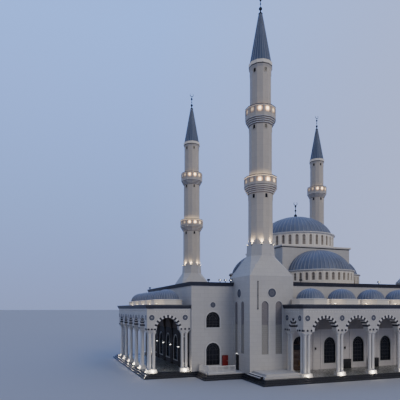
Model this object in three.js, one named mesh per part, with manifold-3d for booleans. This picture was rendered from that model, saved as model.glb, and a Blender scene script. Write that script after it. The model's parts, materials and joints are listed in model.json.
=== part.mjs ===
// A mosque with four minarets, a central dome on four half domes, and three arcaded porticoes.
// It is a scale model at 1:2. Every length below is in metres of the real building, and the
// finished group is scaled to millimetres of the model at the end.
// X runs to the right along the front, Y to the back and Z up. The origin is on the ground,
// under the middle of the central dome.
import * as THREE from 'three';
import { mergeVertices } from 'three/addons/utils/BufferGeometryUtils.js';
import Module from 'manifold-3d';

const wasm = await Module();
wasm.setup();

// Scale, and the clearance left between neighbours
const MODEL_MM_PER_METRE = 500;
const GAP = 0.0006;
const PAST = 0.5;
const WELD = 0.0001;
const LAP = 0.01;

// Plan
const TOWER_AT = 16.8;
const TOWER_HALF = 3.6;
const TOWER_WALL = 0.9;
const TOWER_INNER = TOWER_HALF - TOWER_WALL;
const HALL_FRONT = 18.8;
const WING_FRONT = 14.45;
const WING_SIDE = 27.3;
const WALL = 0.5;
const GLASS = 0.06;

// Levels above the paving
const PODIUM_TOP = 0.7;
const TERRACE_TOP = 1.3;
const EAVES_LOW = 13.8;
const EAVES_TOP = 14.36;
const EAVES_WALL = 0.12;
const EAVES_OVERHANG = 0.22;
const TOWER_TOP = 15.1;

// Shoulder of a tower: a slope from the square base to eight sides, and the block above it
const SHOULDER_SIDES = 8;
const SHOULDER_MID = 18.3;
const SHOULDER_MID_HALF = 2.02;
const SHOULDER_TOP = 20.05;
const SHOULDER_TOP_HALF = 1.93;
const SHOULDER_WALL = 0.7;

// Podium, in three granite steps
const STEPS = 3;
const STEP_TREAD = 0.3;
const PODIUM_FRONT_X = 21.25;
const PODIUM_FRONT_Y = 26.3;
const PODIUM_BACK_Y = 21.25;
const PODIUM_SIDE_X = 34.8;
const PODIUM_SIDE_Y = 15.3;
const PODIUM_LANDING_X = 27.0;
const PODIUM_LANDING_Y = 19.45;

// Terraces and landings in front of the towers and wings
const TERRACE_INNER_X = 14.8;
const TERRACE_FRONT_Y = 24.95;
const TERRACE_LEDGE = 0.45;
const TERRACE_LEDGE_TOP = 1.0;
const LANDING_TOP = 0.82;
const LANDING_LENGTH = 5.7;
const LANDING_DEPTH = 4.15;
const RAIL_HEIGHT = 1.1;
const RAIL_LOW = 0.15;
const RAIL_SIZE = 0.08;
const RAIL_GAP_AT_TOWER = 1.5;
const RAIL_GAP_AT_WALL = 0.3;
const RAIL_POSTS = 5;

// Niches and doors of the towers
const NICHE_OFFSET = 1.15;
const NICHE_HALF = 0.58;
const NICHE_SILL = 3.56;
const NICHE_SPRING = 10.8;
const NICHE_APEX = 11.4;
const NICHE_DEPTH = 0.2;
const TOWER_DOOR_LOW = 0.15;
const TOWER_DOOR_WIDTH = 1.3;
const TOWER_DOOR_TOP = 3.2;
const TOWER_DOOR_INSET = 0.1;

// Minaret shafts, twelve sided
const SHAFT_SIDES = 12;
const SHAFT_BORE = 1.2;
const SHAFT_LOW = 1.86;
const SHAFT_MID = 1.74;
const SHAFT_HIGH = 1.61;
const SHAFT_FOOT = { out: 0.06, block: 0.2, slope: 0.3 };
const BALCONY_LOW = { corbel: 28.0, floor: 28.8, top: 30.45, half: 2.5 };
const BALCONY_HIGH = { corbel: 38.4, floor: 39.4, top: 41.05, half: 2.34 };
const PARAPET = 0.18;
const BALCONY_PAVING = 0.1;
const SHAFT_TOP = 47.0;
const COLLAR_FLARE = 0.35;
const COLLAR_TOP = 48.05;
const COLLAR_HALF = 1.78;
const SPIRE_HALF = 1.7;
const SPIRE_WALL = 0.25;
const SPIRE_TOP = 55.95;
const SPIRE_NECK = 0.27;
const SPIRE_SOLID = 1.5;

// Finials: a rod with balls and a crescent, set into what carries it
const SPIRE_FINIAL = {
  set: 0.3,
  rod: 0.08,
  balls: [{ z: 56.75, radius: 0.27 }, { z: 58.2, radius: 0.22 }],
  tip: 59.5,
};
const DOME_FINIAL = {
  set: 0.2,
  rod: 0.1,
  balls: [{ z: 29.3, radius: 0.32 }, { z: 30.35, radius: 0.2 }, { z: 31.2, radius: 0.2 }],
  tip: 32.2,
};
const ROD_SIDES = 6;
const BALL_RINGS = 4;
const CRESCENT = { radius: 0.42, seat: 0.8, opening: 0.6, depth: 0.35, steps: 6 };

// Windows of the walls
const WING_WINDOW_X = 23.8;
const WING_WINDOW_HALF = 1.13;
const LOWER_WINDOW = { sill: 1.55, spring: 3.88, apex: 5.01 };
const UPPER_WINDOW = { sill: 7.36, spring: 8.65, apex: 9.78 };
const HALL_WINDOW_HALF = 1.09;
const HALL_WINDOW = { sill: 1.63, spring: 4.55, apex: 5.78 };
const WINDOWS_EACH_SIDE = 2;
const ARCH_STEPS = 3;
const GLASS_MARGIN = 0.2;

// Entrances of the hall
const ENTRANCE_AT = 11.1;
const ENTRANCE_HALF = 1.15;
const ENTRANCE = { sill: PODIUM_TOP, spring: 4.75, apex: 6.0 };
const ENTRANCE_FRAME = 0.1;
const FRAME_PROUD = 0.04;
const FRAME_DEPTH = 0.2;
const TRANSOM_LOW = 3.7;
const TRANSOM_TOP = 3.85;
const LEAF_THICK = 0.08;
const LEAF_CLEAR = 0.01;
const LEAF_BOTTOM = 0.02;
const LEAF_RADIUS = LEAF_THICK / 2;
const LEAF_SIDES = 12;
const PIN_RADIUS = 0.03;
const DOOR_INSET = 0.14;

// Porticoes. The side ones have narrower bays, and their middle is set forward of the dome's
const PORTICO_THICK = 0.5;
const BAY = 5.55;
const SIDE_BAY = 4.85;
const SIDE_MIDDLE = -1.2;
const BAYS = 5;
const CORNER_PAST_PIER = 0.35;
const COLUMN_PITCH = 0.62;
const COLUMN_RADIUS = 0.23;
const COLUMN_SIDES = 8;
const BASE_TOP = 1.22;
const BASE_HALF = 0.33;
const CAPITAL_LOW = 6.5;
const CAPITAL_TOP = 6.85;
const CAPITAL_HALF = 0.34;
const ARCH_SPRING = 7.07;
const ARCH_RISE = 1.85;
const PORTICO_EAVES = 10.28;
const PORTICO_TOP = 10.88;
const DRUM_TOP = 11.7;
const SMALL_DRUM_SIDES = 8;
const SMALL_DOME_SET = 0.2;
const FRONT_PORTICO = {
  bay: BAY,
  depth: 6.15,
  archHalf: 1.85,
  endArch: { centre: -4.1, half: 0.85, rise: 1.5, columns: [-2.81, -2.19] },
  drumHalf: 2.6,
  domeRadius: 2.04,
};
const SIDE_PORTICO = {
  bay: SIDE_BAY,
  depth: 6.3,
  archHalf: 1.55,
  endArch: { centre: -3.6, half: 1.77, rise: ARCH_RISE, columns: [-1.24, -0.62] },
  drumHalf: 2.3,
  domeRadius: 1.95,
};
const SMALL_DOME_TOP = 13.36;
const SMALL_DOME_SIDES = 12;
const SMALL_DOME_RINGS = 3;
const SMALL_WELL_SIDES = 8;
const SMALL_WELL_RINGS = 2;
const DOME_FORWARD = 2.95;
const SMALL_DOME_SKIN = 0.2;

// Central dome, its square block and the half domes
const BLOCK_HALF = 7.4;
const BLOCK_WALL = 0.8;
const BLOCK_TOP = 22.1;
const BLOCK_CORNICE = 0.22;
const BLOCK_CORNICE_LOW = 21.75;
const MAIN_DRUM = { outer: 7.4, inner: 6.7, ring: 7.75, low: BLOCK_TOP, ringLow: 24.5, top: 24.85 };
const MAIN_DRUM_WINDOW = { half: 0.3, sill: 22.4, top: 24.3 };
const MAIN_DOME = { radius: 7.1, base: 24.85, top: 28.9 };
const HALF_DRUM = { outer: 6.55, inner: 5.9, ring: 6.82, low: EAVES_TOP, ringLow: 16.9, top: 17.25 };
const HALF_DRUM_WINDOW = { half: 0.27, sill: 15.3, top: 16.67 };
const HALF_DOME = { radius: 6.15, base: 17.25, top: 21.3 };
const DRUM_SIDES = 36;
const DRUM_WINDOW_REACH = 2;
const DOME_SKIN = 0.3;
const DOME_SIDES = 24;
const DOME_RINGS = 4;
const BLOCK_ARCH_HALF = 5.2;
const BLOCK_ARCH = { sill: 0, spring: 16.4, apex: 20.3 };
const BLOCK_ARCH_STEPS = 6;

// Red cabinet for a fire hose, on the front wall of the left wing
const CABINET = { x: -21.83, half: 0.45, depth: 0.3, low: 1.3, top: 3.0 };

const QUARTER = Math.PI / 2;
const WHITE = 0xe6e3dc;
const SHAFT_STONE = 0xcfc8bb;
const LEAD = 0x54637e;
const SLATE = 0x2a3143;
const GRANITE = 0x35383f;
const DARK_GLASS = 0x141a22;
const TIMBER = 0x4c2c1a;
const DARK_METAL = 0x23252b;
const RED = 0x8c1a18;

// Solids from three.js geometries

function signedVolume(positions, index) {
  let volume = 0;
  const a = new THREE.Vector3();
  const b = new THREE.Vector3();
  const c = new THREE.Vector3();
  for (let i = 0; i < index.length; i += 3) {
    a.fromArray(positions, index[i] * 3);
    b.fromArray(positions, index[i + 1] * 3);
    c.fromArray(positions, index[i + 2] * 3);
    volume += a.dot(b.cross(c));
  }
  return volume;
}

function solidOf(geometry) {
  geometry.deleteAttribute('normal');
  geometry.deleteAttribute('uv');
  const welded = mergeVertices(geometry, WELD);
  const positions = welded.attributes.position.array;
  const index = welded.index.array;
  const inward = signedVolume(positions, index) < 0;
  const corners = [];
  for (let i = 0; i < index.length; i += 3) {
    const [a, b, c] = [index[i], index[i + 1], index[i + 2]];
    const flat = a === b || b === c || c === a;
    if (!flat) {
      corners.push(a, inward ? c : b, inward ? b : c);
    }
  }
  const mesh = new wasm.Mesh({
    numProp: 3,
    vertProperties: new Float32Array(positions),
    triVerts: new Uint32Array(corners),
  });
  return new wasm.Manifold(mesh);
}

function geometryOf(solid) {
  const mesh = solid.getMesh();
  const geometry = new THREE.BufferGeometry();
  geometry.setAttribute('position', new THREE.BufferAttribute(mesh.vertProperties, 3));
  geometry.setIndex(new THREE.BufferAttribute(mesh.triVerts, 1));
  geometry.computeVertexNormals();
  return geometry;
}

function join(solids) {
  return solids.reduce((whole, solid) => whole.add(solid));
}

function cut(solid, cutters) {
  return cutters.reduce((rest, cutter) => rest.subtract(cutter), solid);
}

function box(x0, x1, y0, y1, z0, z1) {
  const geometry = new THREE.BoxGeometry(x1 - x0, y1 - y0, z1 - z0);
  geometry.translate((x0 + x1) / 2, (y0 + y1) / 2, (z0 + z1) / 2);
  return solidOf(geometry);
}

// A frustum on the Z axis whose flat sides face the axes, given by the distance to its sides
function taper(sides, lowHalf, topHalf, z0, z1, turn = 0, x = 0, y = 0) {
  const toCorner = 1 / Math.cos(Math.PI / sides);
  const geometry = new THREE.CylinderGeometry(
    topHalf * toCorner, lowHalf * toCorner, z1 - z0, sides, 1, false, Math.PI / sides);
  geometry.rotateX(QUARTER);
  geometry.rotateZ(turn);
  geometry.translate(x, y, (z0 + z1) / 2);
  return solidOf(geometry);
}

function post(radius, z0, z1, x, y, sides = COLUMN_SIDES) {
  return taper(sides, radius, radius, z0, z1, 0, x, y);
}

// A turned solid on the Z axis from [distance to side, height] pairs that start and end on the axis
// or close on themselves
function turned(profile, sides, x = 0, y = 0) {
  const toCorner = 1 / Math.cos(Math.PI / sides);
  const points = profile.map(([half, z]) => new THREE.Vector2(half * toCorner, z));
  const geometry = new THREE.LatheGeometry(points, sides, Math.PI / sides);
  geometry.rotateX(QUARTER);
  geometry.translate(x, y, 0);
  return solidOf(geometry);
}

function prism(points, z0, z1) {
  const shape = new THREE.Shape(points);
  const geometry = new THREE.ExtrudeGeometry(shape, { depth: z1 - z0, bevelEnabled: false });
  geometry.translate(0, 0, z0);
  return solidOf(geometry);
}

// A slab in an upright plane: the outline is in X and Z, and the slab runs from y0 to y1
function upright(points, y0, y1) {
  const shape = new THREE.Shape(points);
  const geometry = new THREE.ExtrudeGeometry(shape, { depth: y1 - y0, bevelEnabled: false });
  geometry.rotateX(QUARTER);
  geometry.translate(0, y1, 0);
  return solidOf(geometry);
}

// The same, with the outline in Y and Z and the slab from x0 to x1
function uprightAcross(points, x0, x1) {
  const shape = new THREE.Shape(points);
  const geometry = new THREE.ExtrudeGeometry(shape, { depth: x1 - x0, bevelEnabled: false });
  geometry.rotateX(QUARTER);
  geometry.rotateZ(QUARTER);
  geometry.translate(x0, 0, 0);
  return solidOf(geometry);
}

function rectangle(halfX, y0, y1) {
  return [
    new THREE.Vector2(-halfX, y0),
    new THREE.Vector2(halfX, y0),
    new THREE.Vector2(halfX, y1),
    new THREE.Vector2(-halfX, y1),
  ];
}

// The outline of an arched opening: two arcs that meet at the apex, above a straight sill
function archOutline(centre, half, { sill, spring, apex }, steps = ARCH_STEPS) {
  const rise = apex - spring;
  const radius = (half * half + rise * rise) / (2 * half);
  const sweep = Math.asin(Math.min(1, rise / radius));
  const points = [new THREE.Vector2(centre - half, sill), new THREE.Vector2(centre + half, sill)];
  for (let i = 0; i <= steps; i += 1) {
    const angle = sweep * i / steps;
    const reach = half - radius + radius * Math.cos(angle);
    points.push(new THREE.Vector2(centre + reach, spring + radius * Math.sin(angle)));
  }
  for (let i = steps - 1; i >= 0; i -= 1) {
    const angle = sweep * i / steps;
    const reach = half - radius + radius * Math.cos(angle);
    points.push(new THREE.Vector2(centre - reach, spring + radius * Math.sin(angle)));
  }
  return points;
}

function pointedOutline(centre, half, sill, top) {
  return [
    new THREE.Vector2(centre - half, sill),
    new THREE.Vector2(centre + half, sill),
    new THREE.Vector2(centre + half, top - half),
    new THREE.Vector2(centre, top),
    new THREE.Vector2(centre - half, top - half),
  ];
}

// A roof slab with a sloped edge that leans out by the overhang
function eavesSlab(points, z0, z1, overhang) {
  const geometry = new THREE.ExtrudeGeometry(new THREE.Shape(points), {
    depth: PAST,
    bevelThickness: z1 - z0,
    bevelSize: overhang,
    bevelSegments: 1,
  });
  geometry.translate(0, 0, z1);
  const reach = PODIUM_SIDE_X + PAST;
  return solidOf(geometry).subtract(box(-reach, reach, -reach, reach, z1, z1 + 2 * PAST + z1 - z0));
}

// The half profile of a dome of the given rise, as heights and distances from the base up
function domeArc(radius, base, top, rings) {
  const rise = top - base;
  const sphere = (radius * radius + rise * rise) / (2 * rise);
  const full = Math.asin(Math.min(1, radius / sphere));
  const start = rise > sphere ? Math.PI - full : full;
  const points = [];
  for (let i = 0; i <= rings; i += 1) {
    const angle = start * (1 - i / rings);
    points.push([sphere * Math.sin(angle), top - sphere + sphere * Math.cos(angle)]);
  }
  points[rings][0] = 0;
  return points;
}

function domeProfile({ radius, base, top }, skin, rings) {
  const outside = domeArc(radius, base, top, rings);
  const inside = domeArc(radius - skin, base, top - skin, rings).reverse();
  return [...inside, ...outside];
}

// The scene graph
const building = new THREE.Group();

function material(color, roughness, metalness = 0) {
  return new THREE.MeshStandardMaterial({ color, roughness, metalness });
}

const stone = () => material(WHITE, 0.75);
const shaftStone = () => material(SHAFT_STONE, 0.8);
const lead = () => material(LEAD, 0.5, 0.3);
const slate = () => material(SLATE, 0.6);
const granite = () => material(GRANITE, 0.45);
const glass = () => material(DARK_GLASS, 0.1);
const timber = () => material(TIMBER, 0.5);
const darkMetal = () => material(DARK_METAL, 0.5, 0.6);
const redPaint = () => material(RED, 0.5);

function addPiece(group, name, solid, look) {
  const mesh = new THREE.Mesh(geometryOf(solid), look);
  mesh.name = name;
  group.add(mesh);
}

// Podium, terraces and landings

function podiumOutline(inset) {
  const frontX = PODIUM_FRONT_X - inset;
  const frontY = PODIUM_FRONT_Y - inset;
  const backY = PODIUM_BACK_Y - inset;
  const sideX = PODIUM_SIDE_X - inset;
  const sideY = PODIUM_SIDE_Y - inset;
  const landingX = PODIUM_LANDING_X - inset;
  const landingY = PODIUM_LANDING_Y - inset;
  const right = [
    [frontX, -frontY], [frontX, -landingY], [landingX, -landingY], [landingX, -sideY],
    [sideX, -sideY], [sideX, sideY], [frontX, sideY], [frontX, backY],
  ];
  const left = right.map(([x, y]) => [-x, y]).reverse();
  return [...right, ...left].map(([x, y]) => new THREE.Vector2(x, y));
}

function podium() {
  const rise = PODIUM_TOP / STEPS;
  const steps = [];
  for (let i = 0; i < STEPS; i += 1) {
    steps.push(prism(podiumOutline(i * STEP_TREAD), 0, (i + 1) * rise));
  }
  return join(steps);
}

function terrace(side) {
  const inner = side * TERRACE_INNER_X;
  const outer = side * (TOWER_AT + TOWER_HALF);
  const x0 = Math.min(inner, outer);
  const x1 = Math.max(inner, outer);
  const y1 = -(TOWER_AT + TOWER_HALF) - GAP;
  const low = box(x0, x1, -TERRACE_FRONT_Y, y1, PODIUM_TOP + GAP, TERRACE_LEDGE_TOP);
  const ledge = TERRACE_LEDGE;
  const top = box(x0 + (side < 0 ? ledge : 0), x1 - (side > 0 ? ledge : 0),
    -TERRACE_FRONT_Y + ledge, y1, PODIUM_TOP + GAP, TERRACE_TOP);
  return low.add(top);
}

// A landing with a railing on its front and outer side, open beside the tower
function landing(side) {
  const near = TOWER_AT + TOWER_HALF + GAP;
  const far = near + LANDING_LENGTH;
  const back = -WING_FRONT - GAP;
  const front = back - LANDING_DEPTH;
  const top = LANDING_TOP + RAIL_HEIGHT;
  const span = (low, high, y0, y1, z0, z1) => {
    return side < 0 ? box(-high, -low, y0, y1, z0, z1) : box(low, high, y0, y1, z0, z1);
  };
  const parts = [span(near, far, front, back, PODIUM_TOP + GAP, LANDING_TOP)];
  const gate = near + RAIL_GAP_AT_TOWER;
  const railBack = back - RAIL_GAP_AT_WALL;
  for (const z of [LANDING_TOP + RAIL_LOW, top - RAIL_SIZE]) {
    parts.push(span(gate, far, front, front + RAIL_SIZE, z, z + RAIL_SIZE));
    parts.push(span(far - RAIL_SIZE, far, front, railBack, z, z + RAIL_SIZE));
  }
  for (let i = 0; i < RAIL_POSTS; i += 1) {
    const x = gate + (far - RAIL_SIZE - gate) * i / (RAIL_POSTS - 1);
    parts.push(span(x, x + RAIL_SIZE, front, front + RAIL_SIZE, PODIUM_TOP + GAP, top));
  }
  parts.push(span(far - RAIL_SIZE, far, railBack - RAIL_SIZE, railBack, PODIUM_TOP + GAP, top));
  return join(parts);
}

// Minarets, in a frame on the tower's axis whose open sides are the front and the left

function towerBase(doorFace) {
  const outer = box(-TOWER_HALF, TOWER_HALF, -TOWER_HALF, TOWER_HALF, PODIUM_TOP + GAP, TOWER_TOP);
  const inner = TOWER_INNER;
  const cutters = [box(-inner, inner, -inner, inner, 0, TOWER_TOP + PAST)];
  const niche = { sill: NICHE_SILL, spring: NICHE_SPRING, apex: NICHE_APEX };
  for (const offset of [-NICHE_OFFSET, NICHE_OFFSET]) {
    const outline = archOutline(offset, NICHE_HALF, niche);
    cutters.push(upright(outline, -TOWER_HALF - PAST, -TOWER_HALF + NICHE_DEPTH));
    cutters.push(uprightAcross(outline, -TOWER_HALF - PAST, -TOWER_HALF + NICHE_DEPTH));
  }
  const low = TOWER_DOOR_LOW;
  const high = TOWER_DOOR_LOW + TOWER_DOOR_WIDTH;
  if (doorFace === 'left') {
    cutters.push(box(-TOWER_HALF - PAST, -inner + PAST, low, high, LANDING_TOP, TOWER_DOOR_TOP));
  }
  if (doorFace === 'front') {
    cutters.push(box(low, high, -TOWER_HALF - PAST, -inner + PAST, LANDING_TOP, TOWER_DOOR_TOP));
  }
  return cut(outer, cutters);
}

function towerShoulder() {
  const z0 = TOWER_TOP - LAP;
  const corner = TOWER_HALF * Math.SQRT2;
  const mid = SHOULDER_MID_HALF;
  const bore = mid - SHOULDER_WALL;
  const square = taper(4, TOWER_HALF, mid, z0, SHOULDER_MID);
  const corners = taper(SHOULDER_SIDES, corner, mid, z0, SHOULDER_MID);
  const upper = taper(SHOULDER_SIDES, mid, SHOULDER_TOP_HALF, SHOULDER_MID - LAP, SHOULDER_TOP);
  const below = taper(SHOULDER_SIDES, TOWER_INNER, bore, z0 - LAP, SHOULDER_MID);
  const above = taper(SHOULDER_SIDES, bore, SHAFT_BORE, SHOULDER_MID - LAP, SHOULDER_TOP + LAP);
  return cut(square.intersect(corners).add(upper), [below, above]);
}

// One balcony's outside: a corbel in two steps, a floor, and a parapet round the walk
function balconyProfile({ corbel, floor, top, half }, below, above) {
  const middle = (corbel + floor) / 2;
  return [
    [below, corbel],
    [(below + half) / 2, middle],
    [half, floor],
    [half, top],
    [half - PARAPET, top],
    [half - PARAPET, floor + BALCONY_PAVING],
    [above, floor + BALCONY_PAVING],
  ];
}

function minaretShaft() {
  const z0 = SHOULDER_TOP + GAP;
  const foot = SHAFT_LOW + SHAFT_FOOT.out;
  const profile = [
    [SHAFT_BORE, z0],
    [foot, z0],
    [foot, z0 + SHAFT_FOOT.block],
    [SHAFT_LOW, z0 + SHAFT_FOOT.slope],
    ...balconyProfile(BALCONY_LOW, SHAFT_LOW, SHAFT_MID),
    ...balconyProfile(BALCONY_HIGH, SHAFT_MID, SHAFT_HIGH),
    [SHAFT_HIGH, SHAFT_TOP],
    [COLLAR_HALF, SHAFT_TOP + COLLAR_FLARE],
    [COLLAR_HALF, COLLAR_TOP],
    [SHAFT_BORE, COLLAR_TOP],
    [SHAFT_BORE, z0],
  ];
  return turned(profile, SHAFT_SIDES);
}

// A crescent open to the top, as the outline between a round edge and a deeper one
function crescent(z, thick) {
  const { radius, opening, depth, steps } = CRESCENT;
  const points = [];
  const addPoint = (i, inset) => {
    const angle = QUARTER + opening + (4 * QUARTER - 2 * opening) * i / steps;
    const reach = radius - inset;
    points.push(new THREE.Vector2(reach * Math.cos(angle), reach * Math.sin(angle)));
  };
  for (let i = 0; i <= steps; i += 1) {
    addPoint(i, 0);
  }
  for (let i = steps - 1; i > 0; i -= 1) {
    addPoint(i, radius * depth * Math.sin(Math.PI * i / steps));
  }
  return upright(points.map((point) => point.setY(point.y + z)), -thick / 2, thick / 2);
}

// A finial: balls on a rod, with a crescent at the tip
function finial(carrierTop, { set, rod, balls, tip }) {
  const centre = tip - CRESCENT.radius;
  const rodTop = centre - CRESCENT.radius * CRESCENT.seat;
  const parts = [post(rod, carrierTop - set, rodTop, 0, 0, ROD_SIDES)];
  for (const ball of balls) {
    const geometry = new THREE.SphereGeometry(ball.radius, ROD_SIDES, BALL_RINGS);
    geometry.rotateX(QUARTER);
    geometry.translate(0, 0, ball.z);
    parts.push(solidOf(geometry));
  }
  parts.push(crescent(centre, 2 * rod));
  return join(parts);
}

function minaretSpire() {
  const z0 = COLLAR_TOP + GAP;
  const cone = turned([
    [0, SPIRE_TOP - SPIRE_SOLID],
    [SPIRE_HALF - SPIRE_WALL, z0],
    [SPIRE_HALF, z0],
    [SPIRE_NECK, SPIRE_TOP],
    [0, SPIRE_TOP],
  ], SHAFT_SIDES);
  return cone.add(finial(SPIRE_TOP, SPIRE_FINIAL));
}

// The tower's fixed or moving door leaf, closed, on a round stile at its hinge side
function towerDoorLeaf(face) {
  const hinge = TOWER_DOOR_LOW + LEAF_CLEAR + LEAF_RADIUS;
  const depth = -TOWER_HALF + TOWER_DOOR_INSET + LEAF_RADIUS;
  const z0 = LANDING_TOP + LEAF_BOTTOM;
  const z1 = TOWER_DOOR_TOP - LEAF_CLEAR;
  const end = TOWER_DOOR_LOW + TOWER_DOOR_WIDTH - LEAF_CLEAR;
  const half = LEAF_RADIUS;
  const [hx, hy] = face === 'left' ? [depth, hinge] : [hinge, depth];
  const panel = face === 'left'
    ? box(depth - half, depth + half, hinge, end, z0, z1)
    : box(hinge, end, depth - half, depth + half, z0, z1);
  return join([
    panel,
    post(half, z0, z1, hx, hy, LEAF_SIDES),
    post(PIN_RADIUS, LANDING_TOP + GAP, z0 + LAP, hx, hy, LEAF_SIDES),
  ]);
}

function addMinaret(place, turns, sideX, sideY, doorFace) {
  const group = new THREE.Group();
  group.position.set(sideX * TOWER_AT, sideY * TOWER_AT, 0);
  group.rotation.z = turns * QUARTER;
  addPiece(group, `${place}_tower`, towerBase(doorFace).add(towerShoulder()), stone());
  addPiece(group, `${place}_minaret`, minaretShaft(), shaftStone());
  addPiece(group, `${place}_spire`, minaretSpire(), lead());
  if (doorFace) {
    addPiece(group, `${place}_tower_door`, towerDoorLeaf(doorFace), darkMetal());
  }
  building.add(group);
}

// Walls of the hall and its wings

function hallFrontWalls() {
  const left = -(TOWER_AT - TOWER_HALF) + GAP;
  const right = -left;
  const y0 = -HALL_FRONT;
  const y1 = y0 + WALL;
  const z0 = PODIUM_TOP + GAP;
  const z1 = EAVES_LOW - GAP;
  const jambLeft = -ENTRANCE_AT - ENTRANCE_HALF;
  const jambRight = -ENTRANCE_AT + ENTRANCE_HALF;
  const entranceCut = (centre) => {
    const outline = archOutline(centre, ENTRANCE_HALF, { ...ENTRANCE, sill: 0 });
    return upright(outline, y0 - PAST, y1 + PAST);
  };
  addPiece(building, 'front_wall_left_pier', box(left, jambLeft, y0, y1, z0, z1), stone());
  const lintel = box(jambLeft + GAP, jambRight, y0, y1, ENTRANCE.spring, z1);
  const over = lintel.subtract(entranceCut(-ENTRANCE_AT));
  addPiece(building, 'front_wall_over_left_entrance', over, stone());
  const cutters = [entranceCut(ENTRANCE_AT)];
  for (const centre of [-BAY, 0, BAY]) {
    cutters.push(upright(archOutline(centre, HALL_WINDOW_HALF, HALL_WINDOW), y0 - PAST, y1 + PAST));
  }
  const wall = box(jambRight + GAP, right, y0, y1, z0, z1);
  addPiece(building, 'front_wall', cut(wall, cutters), stone());
}

function hallBackWall() {
  const half = TOWER_AT - TOWER_HALF - GAP;
  const y1 = HALL_FRONT;
  const y0 = y1 - WALL;
  const wall = box(-half, half, y0, y1, PODIUM_TOP + GAP, EAVES_LOW - GAP);
  const cutters = [];
  for (let i = -WINDOWS_EACH_SIDE; i <= WINDOWS_EACH_SIDE; i += 1) {
    for (const window of [LOWER_WINDOW, UPPER_WINDOW]) {
      const outline = archOutline(i * BAY, WING_WINDOW_HALF, window);
      cutters.push(upright(outline, y0 - PAST, y1 + PAST));
    }
  }
  return cut(wall, cutters);
}

// A wing's walls in one piece: a front and a back wall from the towers to the corners, and the
// side wall between them, behind the side portico, with a window in each bay
function wingWalls(side) {
  const near = TOWER_AT + TOWER_HALF + GAP;
  const inner = WING_SIDE - WALL;
  const innerY = WING_FRONT - WALL;
  const half = [
    [near, -WING_FRONT], [WING_SIDE, -WING_FRONT], [WING_SIDE, WING_FRONT], [near, WING_FRONT],
    [near, innerY], [inner, innerY], [inner, -innerY], [near, -innerY],
  ];
  const outline = half.map(([x, y]) => new THREE.Vector2(side * x, y));
  const walls = prism(outline, PODIUM_TOP + GAP, EAVES_LOW - GAP);
  const cutters = [];
  for (const window of [LOWER_WINDOW, UPPER_WINDOW]) {
    const shape = archOutline(side * WING_WINDOW_X, WING_WINDOW_HALF, window);
    cutters.push(upright(shape, -WING_FRONT - PAST, -innerY + PAST));
    cutters.push(upright(shape, innerY - PAST, WING_FRONT + PAST));
  }
  const x0 = side < 0 ? -WING_SIDE - PAST : inner - PAST;
  for (let i = -WINDOWS_EACH_SIDE; i <= WINDOWS_EACH_SIDE; i += 1) {
    const shape = archOutline(SIDE_MIDDLE + i * SIDE_BAY, HALL_WINDOW_HALF, HALL_WINDOW);
    cutters.push(uprightAcross(shape, x0, x0 + WALL + 2 * PAST));
  }
  return cut(walls, cutters);
}

// The roof slab, cut round the towers and open under the block and the half drums
function hallRoof() {
  const wingX = WING_SIDE + EAVES_WALL;
  const wingY = WING_FRONT + EAVES_WALL;
  const hallX = TOWER_AT;
  const hallY = HALL_FRONT + EAVES_WALL;
  const right = [
    [hallX, -hallY], [hallX, -wingY], [wingX, -wingY],
    [wingX, wingY], [hallX, wingY], [hallX, hallY],
  ];
  const left = right.map(([x, y]) => [-x, y]).reverse();
  const outline = [...right, ...left].map(([x, y]) => new THREE.Vector2(x, y));
  const cutters = [];
  const near = TOWER_AT - TOWER_HALF - GAP;
  const far = TOWER_AT + TOWER_HALF + GAP;
  for (const sx of [-1, 1]) {
    for (const sy of [-1, 1]) {
      const xs = [sx * near, sx * far].sort((a, b) => a - b);
      const ys = [sy * near, sy * far].sort((a, b) => a - b);
      cutters.push(box(xs[0], xs[1], ys[0], ys[1], 0, TOWER_TOP));
    }
  }
  const well = BLOCK_HALF - BLOCK_WALL;
  cutters.push(box(-well, well, -well, well, 0, TOWER_TOP));
  for (const [x, y] of [[0, -1], [1, 0], [0, 1], [-1, 0]]) {
    const [wellX, wellY] = [x * BLOCK_HALF, y * BLOCK_HALF];
    cutters.push(post(HALF_DRUM.inner, 0, TOWER_TOP, wellX, wellY, DOME_SIDES));
  }
  return cut(eavesSlab(outline, EAVES_LOW, EAVES_TOP, EAVES_OVERHANG), cutters);
}

// Central block, drum and dome

function crossingBlock() {
  const z0 = EAVES_TOP + GAP;
  const well = BLOCK_HALF - BLOCK_WALL;
  const cornice = BLOCK_HALF + BLOCK_CORNICE;
  const walls = box(-BLOCK_HALF, BLOCK_HALF, -BLOCK_HALF, BLOCK_HALF, z0, BLOCK_TOP);
  const lid = box(-cornice, cornice, -cornice, cornice, BLOCK_CORNICE_LOW, BLOCK_TOP);
  const arch = archOutline(0, BLOCK_ARCH_HALF, BLOCK_ARCH, BLOCK_ARCH_STEPS);
  const reach = BLOCK_HALF + PAST;
  return cut(walls.add(lid), [
    box(-well, well, -well, well, 0, BLOCK_CORNICE_LOW),
    post(MAIN_DRUM.inner, 0, BLOCK_TOP + PAST, 0, 0, DRUM_SIDES),
    upright(arch, -reach, reach),
    uprightAcross(arch, -reach, reach),
  ]);
}

function drumWall(drum) {
  return turned([
    [drum.inner, drum.low + GAP],
    [drum.outer, drum.low + GAP],
    [drum.outer, drum.ringLow],
    [drum.ring, drum.ringLow],
    [drum.ring, drum.top],
    [drum.inner, drum.top],
    [drum.inner, drum.low + GAP],
  ], DRUM_SIDES);
}

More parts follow.
